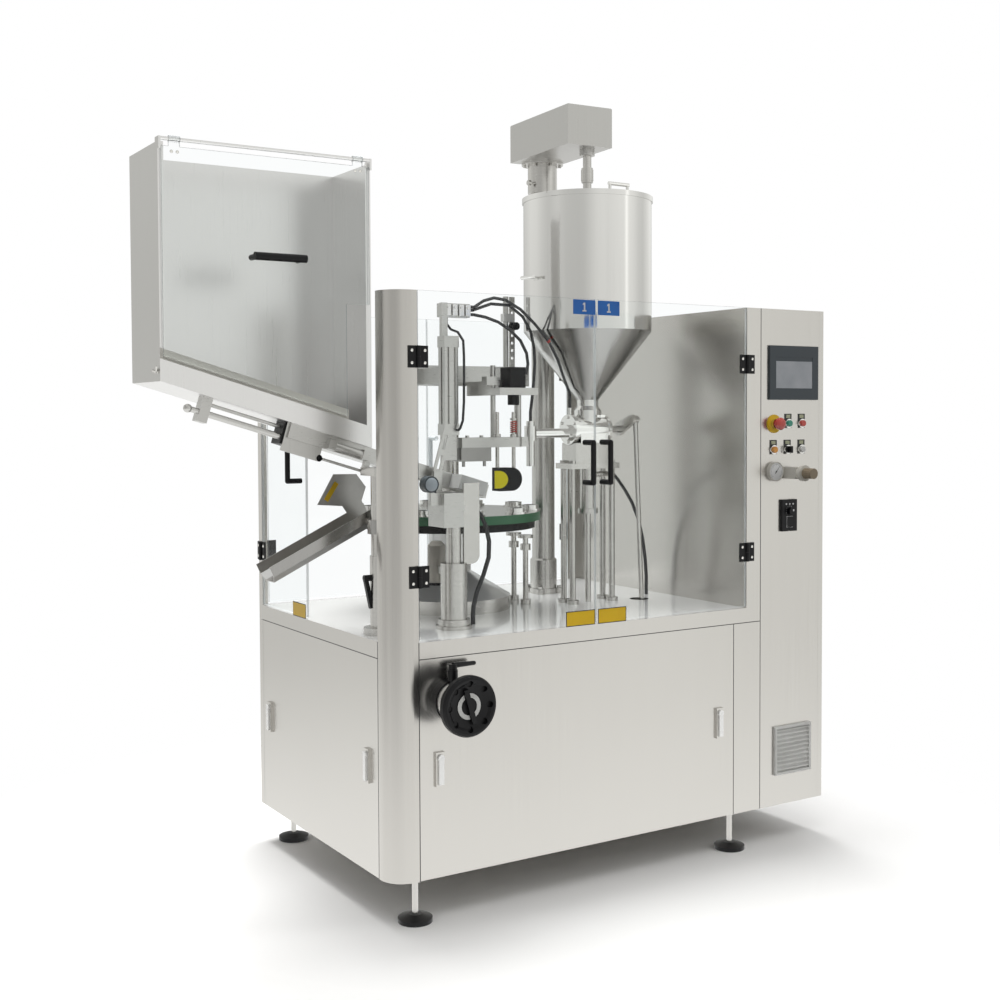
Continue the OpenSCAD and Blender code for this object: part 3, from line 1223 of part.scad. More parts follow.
module clamp_lever() color("black") translate([wheel_at[0], -wheel_housing_t / 2, wheel_at[1] + clamp_up]) {
    rod_z(0, 0, -11, 12, 5);
    rod_z(0, 0, eps, 16, 12);
    translate([0, 0, 12]) rotate([0, 90, 0]) cylinder(h = 68, r1 = 8, r2 = 6);
    translate([68, 0, 12]) sphere(6);
}

module front_left_door() color("lightcyan") at_front_left() door_pane(door_w_front - 1.5);
module front_left_fittings() color("black") at_front_left() door_fittings(door_w_front - left_handle_in);
module front_right_door() color("lightcyan") at_front_right() door_pane(door_w_front - 1.5);
module front_right_fittings() color("black") at_front_right() door_fittings(door_w_front - right_handle_in);
module side_door() color("lightcyan") at_side() {
    door_pane(door_w_side);
    door_fittings(door_w_side - side_handle_in);
}
module rear_left_door() color("lightcyan") at_rear_left() {
    door_pane(door_w_rear - 1.5);
    door_fittings(door_w_rear - left_handle_in);
}
module rear_right_door() color("lightcyan") at_rear_right() {
    door_pane(door_w_rear - 1.5);
    door_fittings(door_w_rear - left_handle_in);
}
module front_left_latch() color("lightgray") at_front_latch(front_latch_xs[0]) latch_handle();
module front_right_latch() color("lightgray") at_front_latch(front_latch_xs[1]) latch_handle();
module side_front_latch() color("lightgray") at_side_latch(side_latch_ys[0]) latch_handle();
module side_rear_latch() color("lightgray") at_side_latch(side_latch_ys[1]) latch_handle();

place() levelling_feet();
place() base_frame();
place() base_panels();
place() table_top();
place() corner_column();
place() rear_post();
place() side_wall();
place() hinge_leaves();
place() cabinet_shell();
place() cabinet_door();
place() vent_louver();
place() touch_panel();
place() control_bezels();
place() air_regulator();
place() speed_controller();
place() hopper();
place() hopper_cone();
place() hopper_neck();
place() hopper_lid();
place() main_column();
place() mixer_housing();
place() mixer_shaft();
place() filling_valve();
place() valve_lever();
place() valve_rod();
place() metering_pump();
place() pump_piston();
place() turntable_base();
place() turntable();
place() tube_cups();
place() tube_lifters();
place() station_frame();
place() sealing_head();
place() tube_magazine();
place() magazine_cover();
place() feed_rail();
place() discharge_chute();
place() air_hoses();
place() drive_unit();
place() handwheel();
place() clamp_lever();
place() front_left_door();
place() front_left_fittings();
place() front_right_door();
place() front_right_fittings();
place() side_door();
place() rear_left_door();
place() rear_right_door();
place() estop_button();
place() start_button();
place() stop_button();
place() jog_button();
place() reset_button();
place() selector_knob();
place() regulator_knob();
place() speed_knob();
place() front_left_latch();
place() front_right_latch();
place() side_rear_latch();
place() side_front_latch();
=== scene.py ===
# Looks of the tube filling machine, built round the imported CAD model. Metres, the CAD model's own frame.
import json
import math

import bpy
import bmesh
from mathutils import Matrix, Vector


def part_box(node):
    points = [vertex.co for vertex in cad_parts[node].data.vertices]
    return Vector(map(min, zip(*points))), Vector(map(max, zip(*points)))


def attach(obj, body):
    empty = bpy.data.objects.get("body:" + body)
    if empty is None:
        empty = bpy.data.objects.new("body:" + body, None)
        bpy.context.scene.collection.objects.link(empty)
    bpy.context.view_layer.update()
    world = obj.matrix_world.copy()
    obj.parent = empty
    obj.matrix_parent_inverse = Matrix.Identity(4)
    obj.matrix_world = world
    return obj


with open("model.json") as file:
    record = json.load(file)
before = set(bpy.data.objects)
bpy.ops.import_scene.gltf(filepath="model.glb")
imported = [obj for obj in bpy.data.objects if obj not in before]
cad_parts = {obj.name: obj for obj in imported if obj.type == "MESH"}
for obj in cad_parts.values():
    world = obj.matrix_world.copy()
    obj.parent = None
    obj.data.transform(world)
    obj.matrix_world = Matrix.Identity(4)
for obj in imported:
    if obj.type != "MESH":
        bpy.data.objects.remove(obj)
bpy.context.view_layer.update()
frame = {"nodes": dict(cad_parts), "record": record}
nodes = frame["nodes"]
scene = bpy.context.scene

# The sizes are measured from the front left corner of the base, in millimetres
ORIGIN_X = 538.0
ORIGIN_Y = 439.5


def at(x, y, z):
    """A point of the machine's corner frame, in millimetres, as a point of the model, in metres."""
    return Vector(((x - ORIGIN_X) / 1000, (y - ORIGIN_Y) / 1000, z / 1000))


# Camera, solved from the photograph's straight edges
CAMERA_AT = at(-1621.87, -3166.38, 1406.55)
CAMERA_YAW = math.radians(31.95)
CAMERA_PITCH = math.radians(-2.05)
CAMERA_ROLL = math.radians(-0.23)
FOCAL_PX = 1318.03
CENTRE_PX = (500.88, 463.59)
IMAGE_PX = 1000.0
SENSOR_MM = 36.0


def make_camera():
    data = bpy.data.cameras.new("camera")
    data.sensor_width = SENSOR_MM
    data.lens = FOCAL_PX * SENSOR_MM / IMAGE_PX
    data.shift_x = (IMAGE_PX / 2 - CENTRE_PX[0]) / IMAGE_PX
    data.shift_y = (CENTRE_PX[1] - IMAGE_PX / 2) / IMAGE_PX
    data.clip_end = 60
    camera = bpy.data.objects.new("camera", data)
    scene.collection.objects.link(camera)
    turn = Matrix.Rotation(-CAMERA_YAW, 4, "Z") @ Matrix.Rotation(math.pi / 2 + CAMERA_PITCH, 4, "X")
    camera.matrix_world = Matrix.Translation(CAMERA_AT) @ turn @ Matrix.Rotation(CAMERA_ROLL, 4, "Z")
    scene.camera = camera


make_camera()


# Materials, made of procedural nodes
class Shader:
    """A small helper that adds nodes to a material and joins them."""

    def __init__(self, name):
        self.material = bpy.data.materials.new(name)
        self.material.use_nodes = True
        self.tree = self.material.node_tree
        self.tree.nodes.clear()
        self.out = self.add("ShaderNodeOutputMaterial")

    def add(self, kind, **values):
        node = self.tree.nodes.new(kind)
        for key, value in values.items():
            setattr(node, key, value)
        return node

    def join(self, a, b):
        self.tree.links.new(a, b)

    def position(self, stretch):
        """Object coordinates, stretched along each axis."""
        where = self.add("ShaderNodeTexCoord")
        mapping = self.add("ShaderNodeMapping")
        mapping.inputs["Scale"].default_value = stretch
        self.join(where.outputs["Object"], mapping.inputs["Vector"])
        return mapping.outputs["Vector"]

    def noise(self, stretch, detail=4.0, rough=0.6):
        node = self.add("ShaderNodeTexNoise")
        node.inputs["Scale"].default_value = 1.0
        node.inputs["Detail"].default_value = detail
        node.inputs["Roughness"].default_value = rough
        self.join(self.position(stretch), node.inputs["Vector"])
        return node.outputs["Fac"]

    def remap(self, value, low, high, start=0.3, stop=0.7):
        node = self.add("ShaderNodeMapRange")
        node.inputs["From Min"].default_value = start
        node.inputs["From Max"].default_value = stop
        node.inputs["To Min"].default_value = low
        node.inputs["To Max"].default_value = high
        self.join(value, node.inputs["Value"])
        return node.outputs["Result"]

    def mix(self, factor, a, b):
        node = self.add("ShaderNodeMix", data_type="RGBA")
        node.inputs[6].default_value = (*a, 1)
        node.inputs[7].default_value = (*b, 1)
        self.join(factor, node.inputs[0])
        return node.outputs[2]

    def bump(self, height, strength, distance):
        node = self.add("ShaderNodeBump")
        node.inputs["Strength"].default_value = strength
        node.inputs["Distance"].default_value = distance
        self.join(height, node.inputs["Height"])
        return node.outputs["Normal"]

    def principled(self, metallic=0.0, specular=0.5, coat=0.0):
        node = self.add("ShaderNodeBsdfPrincipled")
        node.inputs["Metallic"].default_value = metallic
        node.inputs["Specular IOR Level"].default_value = specular
        node.inputs["Coat Weight"].default_value = coat
        self.join(node.outputs["BSDF"], self.out.inputs["Surface"])
        return node


# Marks to the metre of broad changes of tone, and the depth of fine ones in metres
MOTTLE = (9, 9, 9)
EDGE_MOTTLE = (14, 14, 14)
FLOOR_MOTTLE = (0.6, 0.6, 0.6)
SMEAR = (3, 3, 3)
GRAIN_SHARE = 0.6
EDGE_PALER = 1.12
GRAIN_DEPTH = 0.0006
TEXTURE_DEPTH = 0.0003


def metal(name, dark, light, rough, grain, bump=0.04, patch=1.6, metallic=1.0):
    """Steel or aluminium with a grain that is drawn out along one axis, and broad faint unevenness."""
    s = Shader(name)
    body = s.principled(metallic=metallic)
    fine = s.noise(grain, detail=5.0, rough=0.7)
    broad = s.noise((patch, patch, patch), detail=3.0, rough=0.5)
    tone = s.add("ShaderNodeMath", operation="ADD")
    s.join(s.remap(fine, 0.0, GRAIN_SHARE), tone.inputs[0])
    s.join(s.remap(broad, 0.0, 1 - GRAIN_SHARE), tone.inputs[1])
    s.join(s.mix(tone.outputs[0], dark, light), body.inputs["Base Color"])
    s.join(s.remap(fine, rough[0], rough[1]), body.inputs["Roughness"])
    s.join(s.bump(fine, bump, GRAIN_DEPTH), body.inputs["Normal"])
    return s.material


def plastic(name, dark, light, rough, scale=900.0, bump=0.12, specular=0.5, coat=0.0):
    """A moulded plastic with a fine texture and broad variation of tone."""
    s = Shader(name)
    body = s.principled(specular=specular, coat=coat)
    fine = s.noise((scale, scale, scale), detail=2.0, rough=0.5)
    broad = s.noise(MOTTLE)
    s.join(s.mix(s.remap(broad, 0.0, 1.0), dark, light), body.inputs["Base Color"])
    s.join(s.remap(broad, rough[0], rough[1]), body.inputs["Roughness"])
    s.join(s.bump(fine, bump, TEXTURE_DEPTH), body.inputs["Normal"])
    return s.material


def acrylic(name, tint, shine):
    """Clear sheet: light passes straight through, with a faint reflection that grows at grazing angles."""
    s = Shader(name)
    clear = s.add("ShaderNodeBsdfTransparent")
    clear.inputs["Color"].default_value = (*tint, 1)
    gloss = s.add("ShaderNodeBsdfGlossy")
    smear = s.noise(SMEAR, detail=3.0, rough=0.5)
    s.join(s.remap(smear, 0.0, 0.05), gloss.inputs["Roughness"])
    fresnel = s.add("ShaderNodeFresnel")
    fresnel.inputs["IOR"].default_value = 1.35
    scaled = s.add("ShaderNodeMath", operation="MULTIPLY")
    scaled.inputs[1].default_value = shine
    s.join(fresnel.outputs["Fac"], scaled.inputs[0])
    side = s.add("ShaderNodeNewGeometry")
    outer = s.add("ShaderNodeMath", operation="SUBTRACT")
    outer.inputs[0].default_value = 1.0
    s.join(side.outputs["Backfacing"], outer.inputs[1])
    share = s.add("ShaderNodeMath", operation="MULTIPLY")
    s.join(scaled.outputs[0], share.inputs[0])
    s.join(outer.outputs[0], share.inputs[1])
    mixer = s.add("ShaderNodeMixShader")
    s.join(share.outputs[0], mixer.inputs["Fac"])
    s.join(clear.outputs[0], mixer.inputs[1])
    s.join(gloss.outputs[0], mixer.inputs[2])
    s.join(mixer.outputs[0], s.out.inputs["Surface"])
    return s.material


def acrylic_edge(name, colour):
    """The polished edge of a clear sheet, which gathers light."""
    s = Shader(name)
    body = s.principled(specular=0.6)
    broad = s.noise(EDGE_MOTTLE, detail=3.0, rough=0.5)
    pale = tuple(min(1.0, c * EDGE_PALER) for c in colour)
    s.join(s.mix(s.remap(broad, 0.0, 1.0), colour, pale), body.inputs["Base Color"])
    s.join(s.remap(broad, 0.12, 0.3), body.inputs["Roughness"])
    body.inputs["Alpha"].default_value = 0.65
    return s.material


# Grain: marks to the metre along each axis
GRAIN_VERTICAL = (240, 240, 2.5)
GRAIN_ALONG_X = (3, 260, 260)
GRAIN_TURNED = (30, 30, 300)
GRAIN_EVEN = (40, 40, 40)
GRAIN_FINE = (300, 300, 300)
MAT = {
    "sheet": metal("sheet_steel", (0.565, 0.55, 0.525), (0.595, 0.58, 0.555), (0.23, 0.27),
                   GRAIN_VERTICAL, bump=0.008),
    "column": metal("column_steel", (0.525, 0.51, 0.485), (0.555, 0.54, 0.515), (0.20, 0.24),
                    GRAIN_VERTICAL, bump=0.01),
    "bright": metal("bright_sheet", (0.715, 0.71, 0.705), (0.745, 0.74, 0.735), (0.27, 0.30),
                    GRAIN_VERTICAL, bump=0.003, patch=0.7),
    "satin": metal("satin_sheet", (0.465, 0.46, 0.445), (0.495, 0.49, 0.475), (0.27, 0.32),
                   GRAIN_VERTICAL, bump=0.004, patch=0.7),
    "table": metal("table_steel", (0.86, 0.855, 0.845), (0.90, 0.895, 0.885), (0.05, 0.09),
                   GRAIN_ALONG_X, bump=0.006, metallic=0.34),
    "polished": metal("polished_steel", (0.735, 0.73, 0.715), (0.765, 0.76, 0.745), (0.10, 0.13),
                      GRAIN_VERTICAL, bump=0.002),
    "machined": metal("machined_steel", (0.52, 0.51, 0.49), (0.58, 0.57, 0.55), (0.20, 0.28),
                      GRAIN_TURNED, bump=0.01),
    # Two darker copies of the steel, as painted shade: "shaded" for the clamp block and the chute's fold and
    # hood, "cone" for the hopper cone and the chute's outside
    "shaded": metal("shaded_steel", (0.30, 0.295, 0.285), (0.34, 0.335, 0.325), (0.28, 0.34),
                    GRAIN_EVEN, bump=0.002),
    "cone": metal("cone_painted_shade_steel", (0.37, 0.365, 0.355), (0.41, 0.405, 0.395), (0.16, 0.20),
                  GRAIN_VERTICAL, bump=0.002),
    "aluminium": metal("anodised_aluminium", (0.47, 0.465, 0.45), (0.53, 0.525, 0.51), (0.26, 0.34),
                       GRAIN_TURNED, bump=0.01),
    "mirror": metal("mirror_sheet", (0.86, 0.86, 0.855), (0.90, 0.90, 0.895), (0.20, 0.26),
                    GRAIN_VERTICAL, bump=0.002, metallic=0.5),
    "black": plastic("black_plastic", (0.004, 0.004, 0.005), (0.009, 0.009, 0.010), (0.32, 0.48),
                     specular=0.22),
    "black_paint": plastic("black_paint", (0.005, 0.005, 0.006), (0.011, 0.011, 0.012), (0.24, 0.36),
                           scale=500.0, bump=0.08, specular=0.25),
    "grey_paint": plastic("grey_paint", (0.16, 0.17, 0.18), (0.24, 0.25, 0.26), (0.35, 0.5),
                          scale=260.0, bump=0.25),
    "green": plastic("green_plastic", (0.03, 0.13, 0.06), (0.05, 0.19, 0.09), (0.25, 0.4)),
    "bezel": plastic("panel_bezel", (0.030, 0.040, 0.050), (0.040, 0.052, 0.062), (0.35, 0.5)),
    "cream": plastic("cream_bar", (0.80, 0.78, 0.71), (0.86, 0.84, 0.77), (0.3, 0.42)),
    "can": plastic("spray_can", (0.50, 0.47, 0.42), (0.60, 0.57, 0.51), (0.3, 0.4), scale=300.0, bump=0.03),
    "lens": plastic("lens_glass", (0.30, 0.36, 0.42), (0.48, 0.54, 0.60), (0.04, 0.10), scale=60.0,
                    bump=0.0, specular=0.8, coat=0.6),
    "white": plastic("white_plastic", (0.66, 0.66, 0.64), (0.80, 0.80, 0.78), (0.3, 0.45)),
    "ivory": plastic("ivory_plastic", (0.60, 0.58, 0.53), (0.70, 0.68, 0.62), (0.35, 0.5)),
    "red": plastic("red_plastic", (0.56, 0.035, 0.022), (0.68, 0.055, 0.035), (0.15, 0.28),
                   bump=0.05, specular=0.6, coat=0.3),
    "green_button": plastic("green_button", (0.00, 0.26, 0.17), (0.01, 0.36, 0.24), (0.15, 0.28),
                            bump=0.05, specular=0.6, coat=0.3),
    "orange": plastic("orange_button", (0.75, 0.26, 0.01), (0.90, 0.40, 0.03), (0.15, 0.28),
                      bump=0.05, specular=0.6, coat=0.3),
    "white_button": plastic("white_button", (0.72, 0.72, 0.70), (0.85, 0.85, 0.83), (0.15, 0.28),
                            bump=0.05),
    "yellow": plastic("yellow_plastic", (0.84, 0.52, 0.01), (0.92, 0.60, 0.02), (0.3, 0.45)),
    "lemon": plastic("lemon_tag", (0.86, 0.74, 0.01), (0.92, 0.82, 0.02), (0.3, 0.45)),
    "tan": plastic("tan_plastic", (0.20, 0.16, 0.11), (0.30, 0.24, 0.17), (0.4, 0.55)),
    "hose": plastic("hose_rubber", (0.015, 0.016, 0.018), (0.035, 0.036, 0.038), (0.25, 0.4)),
    "clear": acrylic("clear_acrylic", (0.985, 0.992, 0.992), 0.55),
    "edge": acrylic_edge("acrylic_edge", (0.72, 0.76, 0.77)),
    "zinc": metal("zinc_screws", (0.70, 0.69, 0.66), (0.84, 0.83, 0.80), (0.18, 0.30), GRAIN_FINE,
                  bump=0.02),
    "screen": plastic("screen_glass", (0.34, 0.37, 0.41), (0.46, 0.48, 0.52), (0.10, 0.18),
                      scale=40.0, bump=0.0, specular=0.6, coat=0.4),
    "legend": plastic("legend_label", (0.50, 0.52, 0.34), (0.58, 0.60, 0.42), (0.4, 0.5)),
    "blue": plastic("blue_plate", (0.00, 0.12, 0.50), (0.01, 0.17, 0.60), (0.25, 0.35),
                    scale=600.0, bump=0.03),
    "print": plastic("white_print", (0.80, 0.80, 0.80), (0.88, 0.88, 0.88), (0.4, 0.5),
                     scale=600.0, bump=0.02),
    "ink": plastic("black_print", (0.012, 0.012, 0.012), (0.022, 0.022, 0.022), (0.4, 0.5),
                   scale=600.0, bump=0.02),
    "needle": plastic("dark_needle", (0.02, 0.02, 0.02), (0.04, 0.04, 0.04), (0.3, 0.4),
                      scale=600.0, bump=0.02),
}
BY_SLOT = {
    "brushed_stainless": "sheet", "satin_stainless": "column", "polished_stainless": "polished",
    "machined_steel": "machined", "aluminium": "aluminium", "acrylic": "clear", "black_plastic": "black",
    "black_paint": "black_paint", "grey_paint": "grey_paint", "green_plastic": "green",
    "white_plastic": "white", "ivory_plastic": "ivory", "red_plastic": "red",
    "green_button": "green_button", "orange_button": "orange", "white_button": "white_button",
    "tan_plastic": "tan", "hose_rubber": "hose",
}
for part in frame["record"]["subparts"]:
    obj = nodes[part["node"]]
    obj.data.materials.clear()
    obj.data.materials.append(MAT[BY_SLOT[part["material_slot"]]])
# The hopper cone takes the darker cone steel as painted shade
SPECIAL = {
    "table_top": "table", "touch_panel": "bezel", "turntable_base": "mirror", "tube_magazine": "bright",
    "tube_cups": "polished", "vent_louver": "white", "hopper_cone": "cone", "mixer_housing": "satin",
    "front_left_latch": "mirror", "front_right_latch": "mirror", "side_rear_latch": "mirror",
    "side_front_latch": "mirror",
}
for name, look in SPECIAL.items():
    nodes[name].data.materials[0] = MAT[look]


def paint_faces(node, material, test):
    """Gives the faces of a CAD node whose centre and normal pass a test another material."""
    obj = nodes[node]
    index = len(obj.data.materials)
    obj.data.materials.append(material)
    for face in obj.data.polygons:
        if test(face.center, face.normal):
            face.material_index = index


def paint_box(node, material, low, high):
    """Paints the faces of a CAD node inside a box, given by two corners in millimetres."""
    a = at(*low)
    b = at(*high)
    paint_faces(node, material, lambda c, n: a.x < c.x < b.x and a.y < c.y < b.y and a.z < c.z < b.z)


MAGAZINE_X = -545.0
FLOOR_LEFT_Z = 1506.0
FEED_SLOPE = math.radians(16.7)


def along_slope(c):
    """Place of a point along the feed slope and above it, in millimetres."""
    x = c.x * 1000 + ORIGIN_X - MAGAZINE_X
    z = c.z * 1000 - FLOOR_LEFT_Z
    cos = math.cos(FEED_SLOPE)
    sin = math.sin(FEED_SLOPE)
    return x * cos - z * sin, x * sin + z * cos


def paint_slope(node, material, low, high):
    """Paints the faces inside a box of the sloped frame: along the slope, depth, height above it."""
    y0 = at(0, low[1], 0).y
    y1 = at(0, high[1], 0).y

    def inside(c, n):
        u, w = along_slope(c)
        return low[0] < u < high[0] and y0 < c.y < y1 and low[2] < w < high[2]

    paint_faces(node, material, inside)


# Parts of the tube stations, by the boxes that they fill
STATION_LOOKS = {
    "scale knob": ("black", (722, 500, 1690), (754, 542, 1719)),
    "scale clamp": ("white", (701, 533, 1719), (739, 559, 1747)),
    "press": ("black", (560, 274, 1496), (617, 336, 1560)),
    "press collar": ("black", (571, 286, 1440), (609, 324, 1472.5)),
    # The clamp block under the lower plate takes the darker steel as painted shade
    "clamp block": ("shaded", (383, 274, 1250), (491, 336, 1311.5)),
    "manifold valves": ("bright", (352, 315, 1712), (452, 334.5, 1750)),
    "sensor barrel": ("bezel", (181, 139, 1187), (231, 171, 1237)),
    "spray can": ("can", (281, 272, 907.9), (339, 328, 1033)),
    "can holder": ("black", (280, 270, 899), (340, 330, 908.1)),
    "front post": ("machined", (240, 115, 786), (350, 225, 1085)),
    "centre post": ("machined", (460, 510, 1000), (535, 580, 1505)),
    "guide plate": ("machined", (321, 150, 970), (376, 170, 1213)),
}
for look, low, high in STATION_LOOKS.values():
    paint_box("station_frame", MAT[look], low, high)

# Share of a normal along an axis: nearly all of it, nearly none, and the limits for the folded sheets
ALONG = 0.9
ACROSS = 0.1
UPRIGHT = 0.3
SQUARE = 0.95
UNDER = 0.2
EDGE_FLAT = 0.5
DRUM_TOP = at(0, 0, 868).z
HEAD_TOP = at(0, 0, 1249).z
paint_faces("turntable_base", MAT["machined"], lambda c, n: abs(n.z) < ACROSS and c.z < DRUM_TOP)
paint_faces("sealing_head", MAT["black"], lambda c, n: c.z < HEAD_TOP)

# Base: brushed skirt round the polished table, steel stems on the black foot pads
STEM_LOW = at(0, 0, 30).z
paint_faces("table_top", MAT["sheet"], lambda c, n: abs(n.z) < UPRIGHT)
paint_faces("levelling_feet", MAT["machined"], lambda c, n: c.z > STEM_LOW)

# Feed slide and rail, in the sloped frame, and the feed post
SLIDE_LOOKS = {
    "slide block": ("black", (376, 274, -67), (412, 340, -3)),
    "carrier plate": ("satin", (383, 269, -85), (504, 276.5, -3)),
    "ball end": ("black", (492, 260, -86), (515, 285, -62)),
    "guide block": ("white", (928, 200, -47), (1024, 261.5, -3)),
}
FEED_POST_LOOKS = {
    "post": ("machined", (30, 160, 786), (112, 240, 1270)),
    "clamp lever": ("black", (4, 185, 850), (39.5, 215, 965)),
}
for look, low, high in SLIDE_LOOKS.values():
    paint_slope("feed_rail", MAT[look], low, high)
for look, low, high in FEED_POST_LOOKS.values():
    paint_box("feed_rail", MAT[look], low, high)

# Discharge chute: a painted highlight on the bright inside, and painted shade on the darker outside, the
# dark fold below and the dark hood
CHUTE_MIDDLE = at(0, 295, 0).y
HOOD_FRONT = at(0, 341, 0).y


def under_chute(c, n):
    return n.z < -UNDER and abs(n.y) < SQUARE


paint_faces("discharge_chute", MAT["cone"], lambda c, n: n.y < -UPRIGHT and c.y < CHUTE_MIDDLE)
paint_faces("discharge_chute", MAT["mirror"], lambda c, n: n.y < -UPRIGHT and c.y > CHUTE_MIDDLE)
paint_faces("discharge_chute", MAT["shaded"], under_chute)
paint_faces("discharge_chute", MAT["shaded"], lambda c, n: abs(n.y) > SQUARE and c.y > HOOD_FRONT)

# Magazine: a cream bar along the lip, and a darker left side as painted shade
LIP_BAR = (56.5, 86.0)
LIP_BACK = at(0, 253.2, 0).y
LIP_END = at(-1.5, 0, 0).x
MAGAZINE_LEFT = at(MAGAZINE_X + 1, 0, 0).x


def on_lip_bar(c, n):
    drop = (c.x * 1000 + ORIGIN_X - MAGAZINE_X) * math.tan(FEED_SLOPE)
    rise = c.z * 1000 - FLOOR_LEFT_Z + drop
    return c.y < LIP_BACK and c.x < LIP_END and LIP_BAR[0] < rise < LIP_BAR[1]


paint_faces("tube_magazine", MAT["cream"], on_lip_bar)
paint_faces("tube_magazine", MAT["satin"], lambda c, n: n.x < -ALONG and c.x < MAGAZINE_LEFT)

# Turntable: a green rim on a black disc, under a steel top
RIM_LOW = at(0, 0, 1074.5).z
paint_faces("turntable", MAT["black"], lambda c, n: c.z < RIM_LOW)
paint_faces("turntable", MAT["machined"], lambda c, n: n.z > ALONG)

# Handwheel: a white dial ring, and a bright ring between the wheel and its black flange
DIAL_FRONT = at(0, -113.5, 0).y
DIAL_DEPTH = 0.002
DIAL_OUT = 0.0365
WHEEL = at(178, 0, 622)


def on_dial(c, n):
    level = DIAL_FRONT - DIAL_DEPTH < c.y < DIAL_FRONT
    return n.y < -ALONG and level and (c - WHEEL).xz.length < DIAL_OUT


paint_faces("handwheel", MAT["white"], on_dial)
OUTSIDE = at(0, -0.1, 0).y
RING_BACK = at(0, -30.1, 0).y
CLAMP_LOW = at(0, 0, 672).z
paint_faces("drive_unit", MAT["black_paint"], lambda c, n: c.y < OUTSIDE)
paint_faces("drive_unit", MAT["bright"], lambda c, n: c.y < RING_BACK and c.z < CLAMP_LOW)

# Doors: bright edges, black fittings on the side door, clear pulls and black hinges on the rear doors
for door in ("front_left_door", "front_right_door", "rear_left_door", "rear_right_door", "magazine_cover"):
    paint_faces(door, MAT["edge"], lambda c, n: abs(n.y) < EDGE_FLAT)
paint_faces("side_door", MAT["edge"], lambda c, n: abs(n.x) < EDGE_FLAT)
PROUD = 0.0002
SIDE_FACE = at(0, 0, 0).x - PROUD
REAR_FACE = at(0, 950, 0).y + PROUD
REAR_MIDDLE = at(620, 0, 0).x
REAR_PULLS = 0.2
paint_faces("side_door", MAT["black"], lambda c, n: c.x < SIDE_FACE)
for door in ("rear_left_door", "rear_right_door"):
    paint_faces(door, MAT["edge"], lambda c, n: c.y > REAR_FACE)
    paint_faces(door, MAT["black"], lambda c, n: c.y > REAR_FACE and abs(c.x - REAR_MIDDLE) > REAR_PULLS)
GRIP_FRONT = at(0, 241, 0).y
GRIP_TOP = at(0, 0, 2000).z
paint_faces("magazine_cover", MAT["black"], lambda c, n: c.y < GRIP_FRONT and c.z < GRIP_TOP)


# Small pieces that the scene adds to the solids
FACING_FRONT = Matrix(((1, 0, 0), (0, 0, -1), (0, 1, 0))).to_4x4()
FACING_LEFT = Matrix(((0, 0, -1), (-1, 0, 0), (0, 1, 0))).to_4x4()
FACING_REAR = Matrix(((-1, 0, 0), (0, 0, 1), (0, 1, 0))).to_4x4()


def stand(point, facing, turn=0.0):
    """The frame of a piece that stands on a face of the machine: its z axis points away from the face."""
    return Matrix.Translation(point) @ facing @ Matrix.Rotation(turn, 4, "Z")


def finish_piece(name, bm, material, body, sharp=35):
    bmesh.ops.recalc_face_normals(bm, faces=bm.faces)
    mesh = bpy.data.meshes.new(name)
    bm.to_mesh(mesh)
    bm.free()
    for face in mesh.polygons:
        face.use_smooth = True
    mesh.set_sharp_from_angle(angle=math.radians(sharp))
    mesh.materials.append(material)
    piece = bpy.data.objects.new(name, mesh)
    scene.collection.objects.link(piece)
    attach(piece, body)


def bridge(bm, low, high):
    count = len(low)
    for k in range(count):
        bm.faces.new((low[k], low[(k + 1) % count], high[(k + 1) % count], high[k]))


def add_lathe(bm, profile, frame_of, segments=24):
    """A turned piece: pairs of radius and height in millimetres, from the bottom to the top."""
    rings = []
    for radius, height in profile:
        if radius <= 0:
            rings.append([bm.verts.new(frame_of @ Vector((0, 0, height / 1000)))])
            continue
        ring = []
        for k in range(segments):
            angle = 2 * math.pi * k / segments
            spot = Vector((radius * math.cos(angle) / 1000, radius * math.sin(angle) / 1000, height / 1000))
            ring.append(bm.verts.new(frame_of @ spot))
        rings.append(ring)
    for low, high in zip(rings, rings[1:]):
        if len(low) == 1 and len(high) == 1:
            continue
        if len(low) == 1:
            for k in range(segments):
                bm.faces.new((low[0], high[k], high[(k + 1) % segments]))
        elif len(high) == 1:
            for k in range(segments):
                bm.faces.new((low[k], low[(k + 1) % segments], high[0]))
        else:
            bridge(bm, low, high)


def rounded_outline(width, height, radius, steps=4):
    spots = []
    for k, (sx, sy) in enumerate(((1, 1), (-1, 1), (-1, -1), (1, -1))):
        cx = sx * (width / 2 - radius)
        cy = sy * (height / 2 - radius)
        for j in range(steps + 1):
            angle = math.pi / 2 * (k + j / steps)
            spots.append((cx + radius * math.cos(angle), cy + radius * math.sin(angle)))
    return spots


def add_slab(bm, outline, thick, frame_of, bevel=0.3, base=0.0):
    """A thin plate of a given outline, in millimetres, with a broken edge."""
    count = len(outline)
    mid_x = sum(v[0] for v in outline) / count
    mid_y = sum(v[1] for v in outline) / count
    reach = max(max(abs(v[0] - mid_x), abs(v[1] - mid_y)) for v in outline)
    shrink = max(0.0, 1 - bevel / reach)
    layers = ((1.0, base), (1.0, base + thick - bevel), (shrink, base + thick))
    rings = []
    for scale, height in layers:
        ring = []
        for x, y in outline:
            spot = Vector((mid_x + (x - mid_x) * scale, mid_y + (y - mid_y) * scale, height)) / 1000
            ring.append(bm.verts.new(frame_of @ spot))
        rings.append(ring)
    for low, high in zip(rings, rings[1:]):
        bridge(bm, low, high)
    bm.faces.new(rings[0][::-1])
    bm.faces.new(rings[-1])


def plate(name, body, material, where, facing, size, thick=0.6, radius=2.0, bevel=0.2, base=0.0):
    bm = bmesh.new()
    add_slab(bm, rounded_outline(size[0], size[1], radius), thick, stand(where, facing), bevel, base)
    finish_piece(name, bm, material, body)


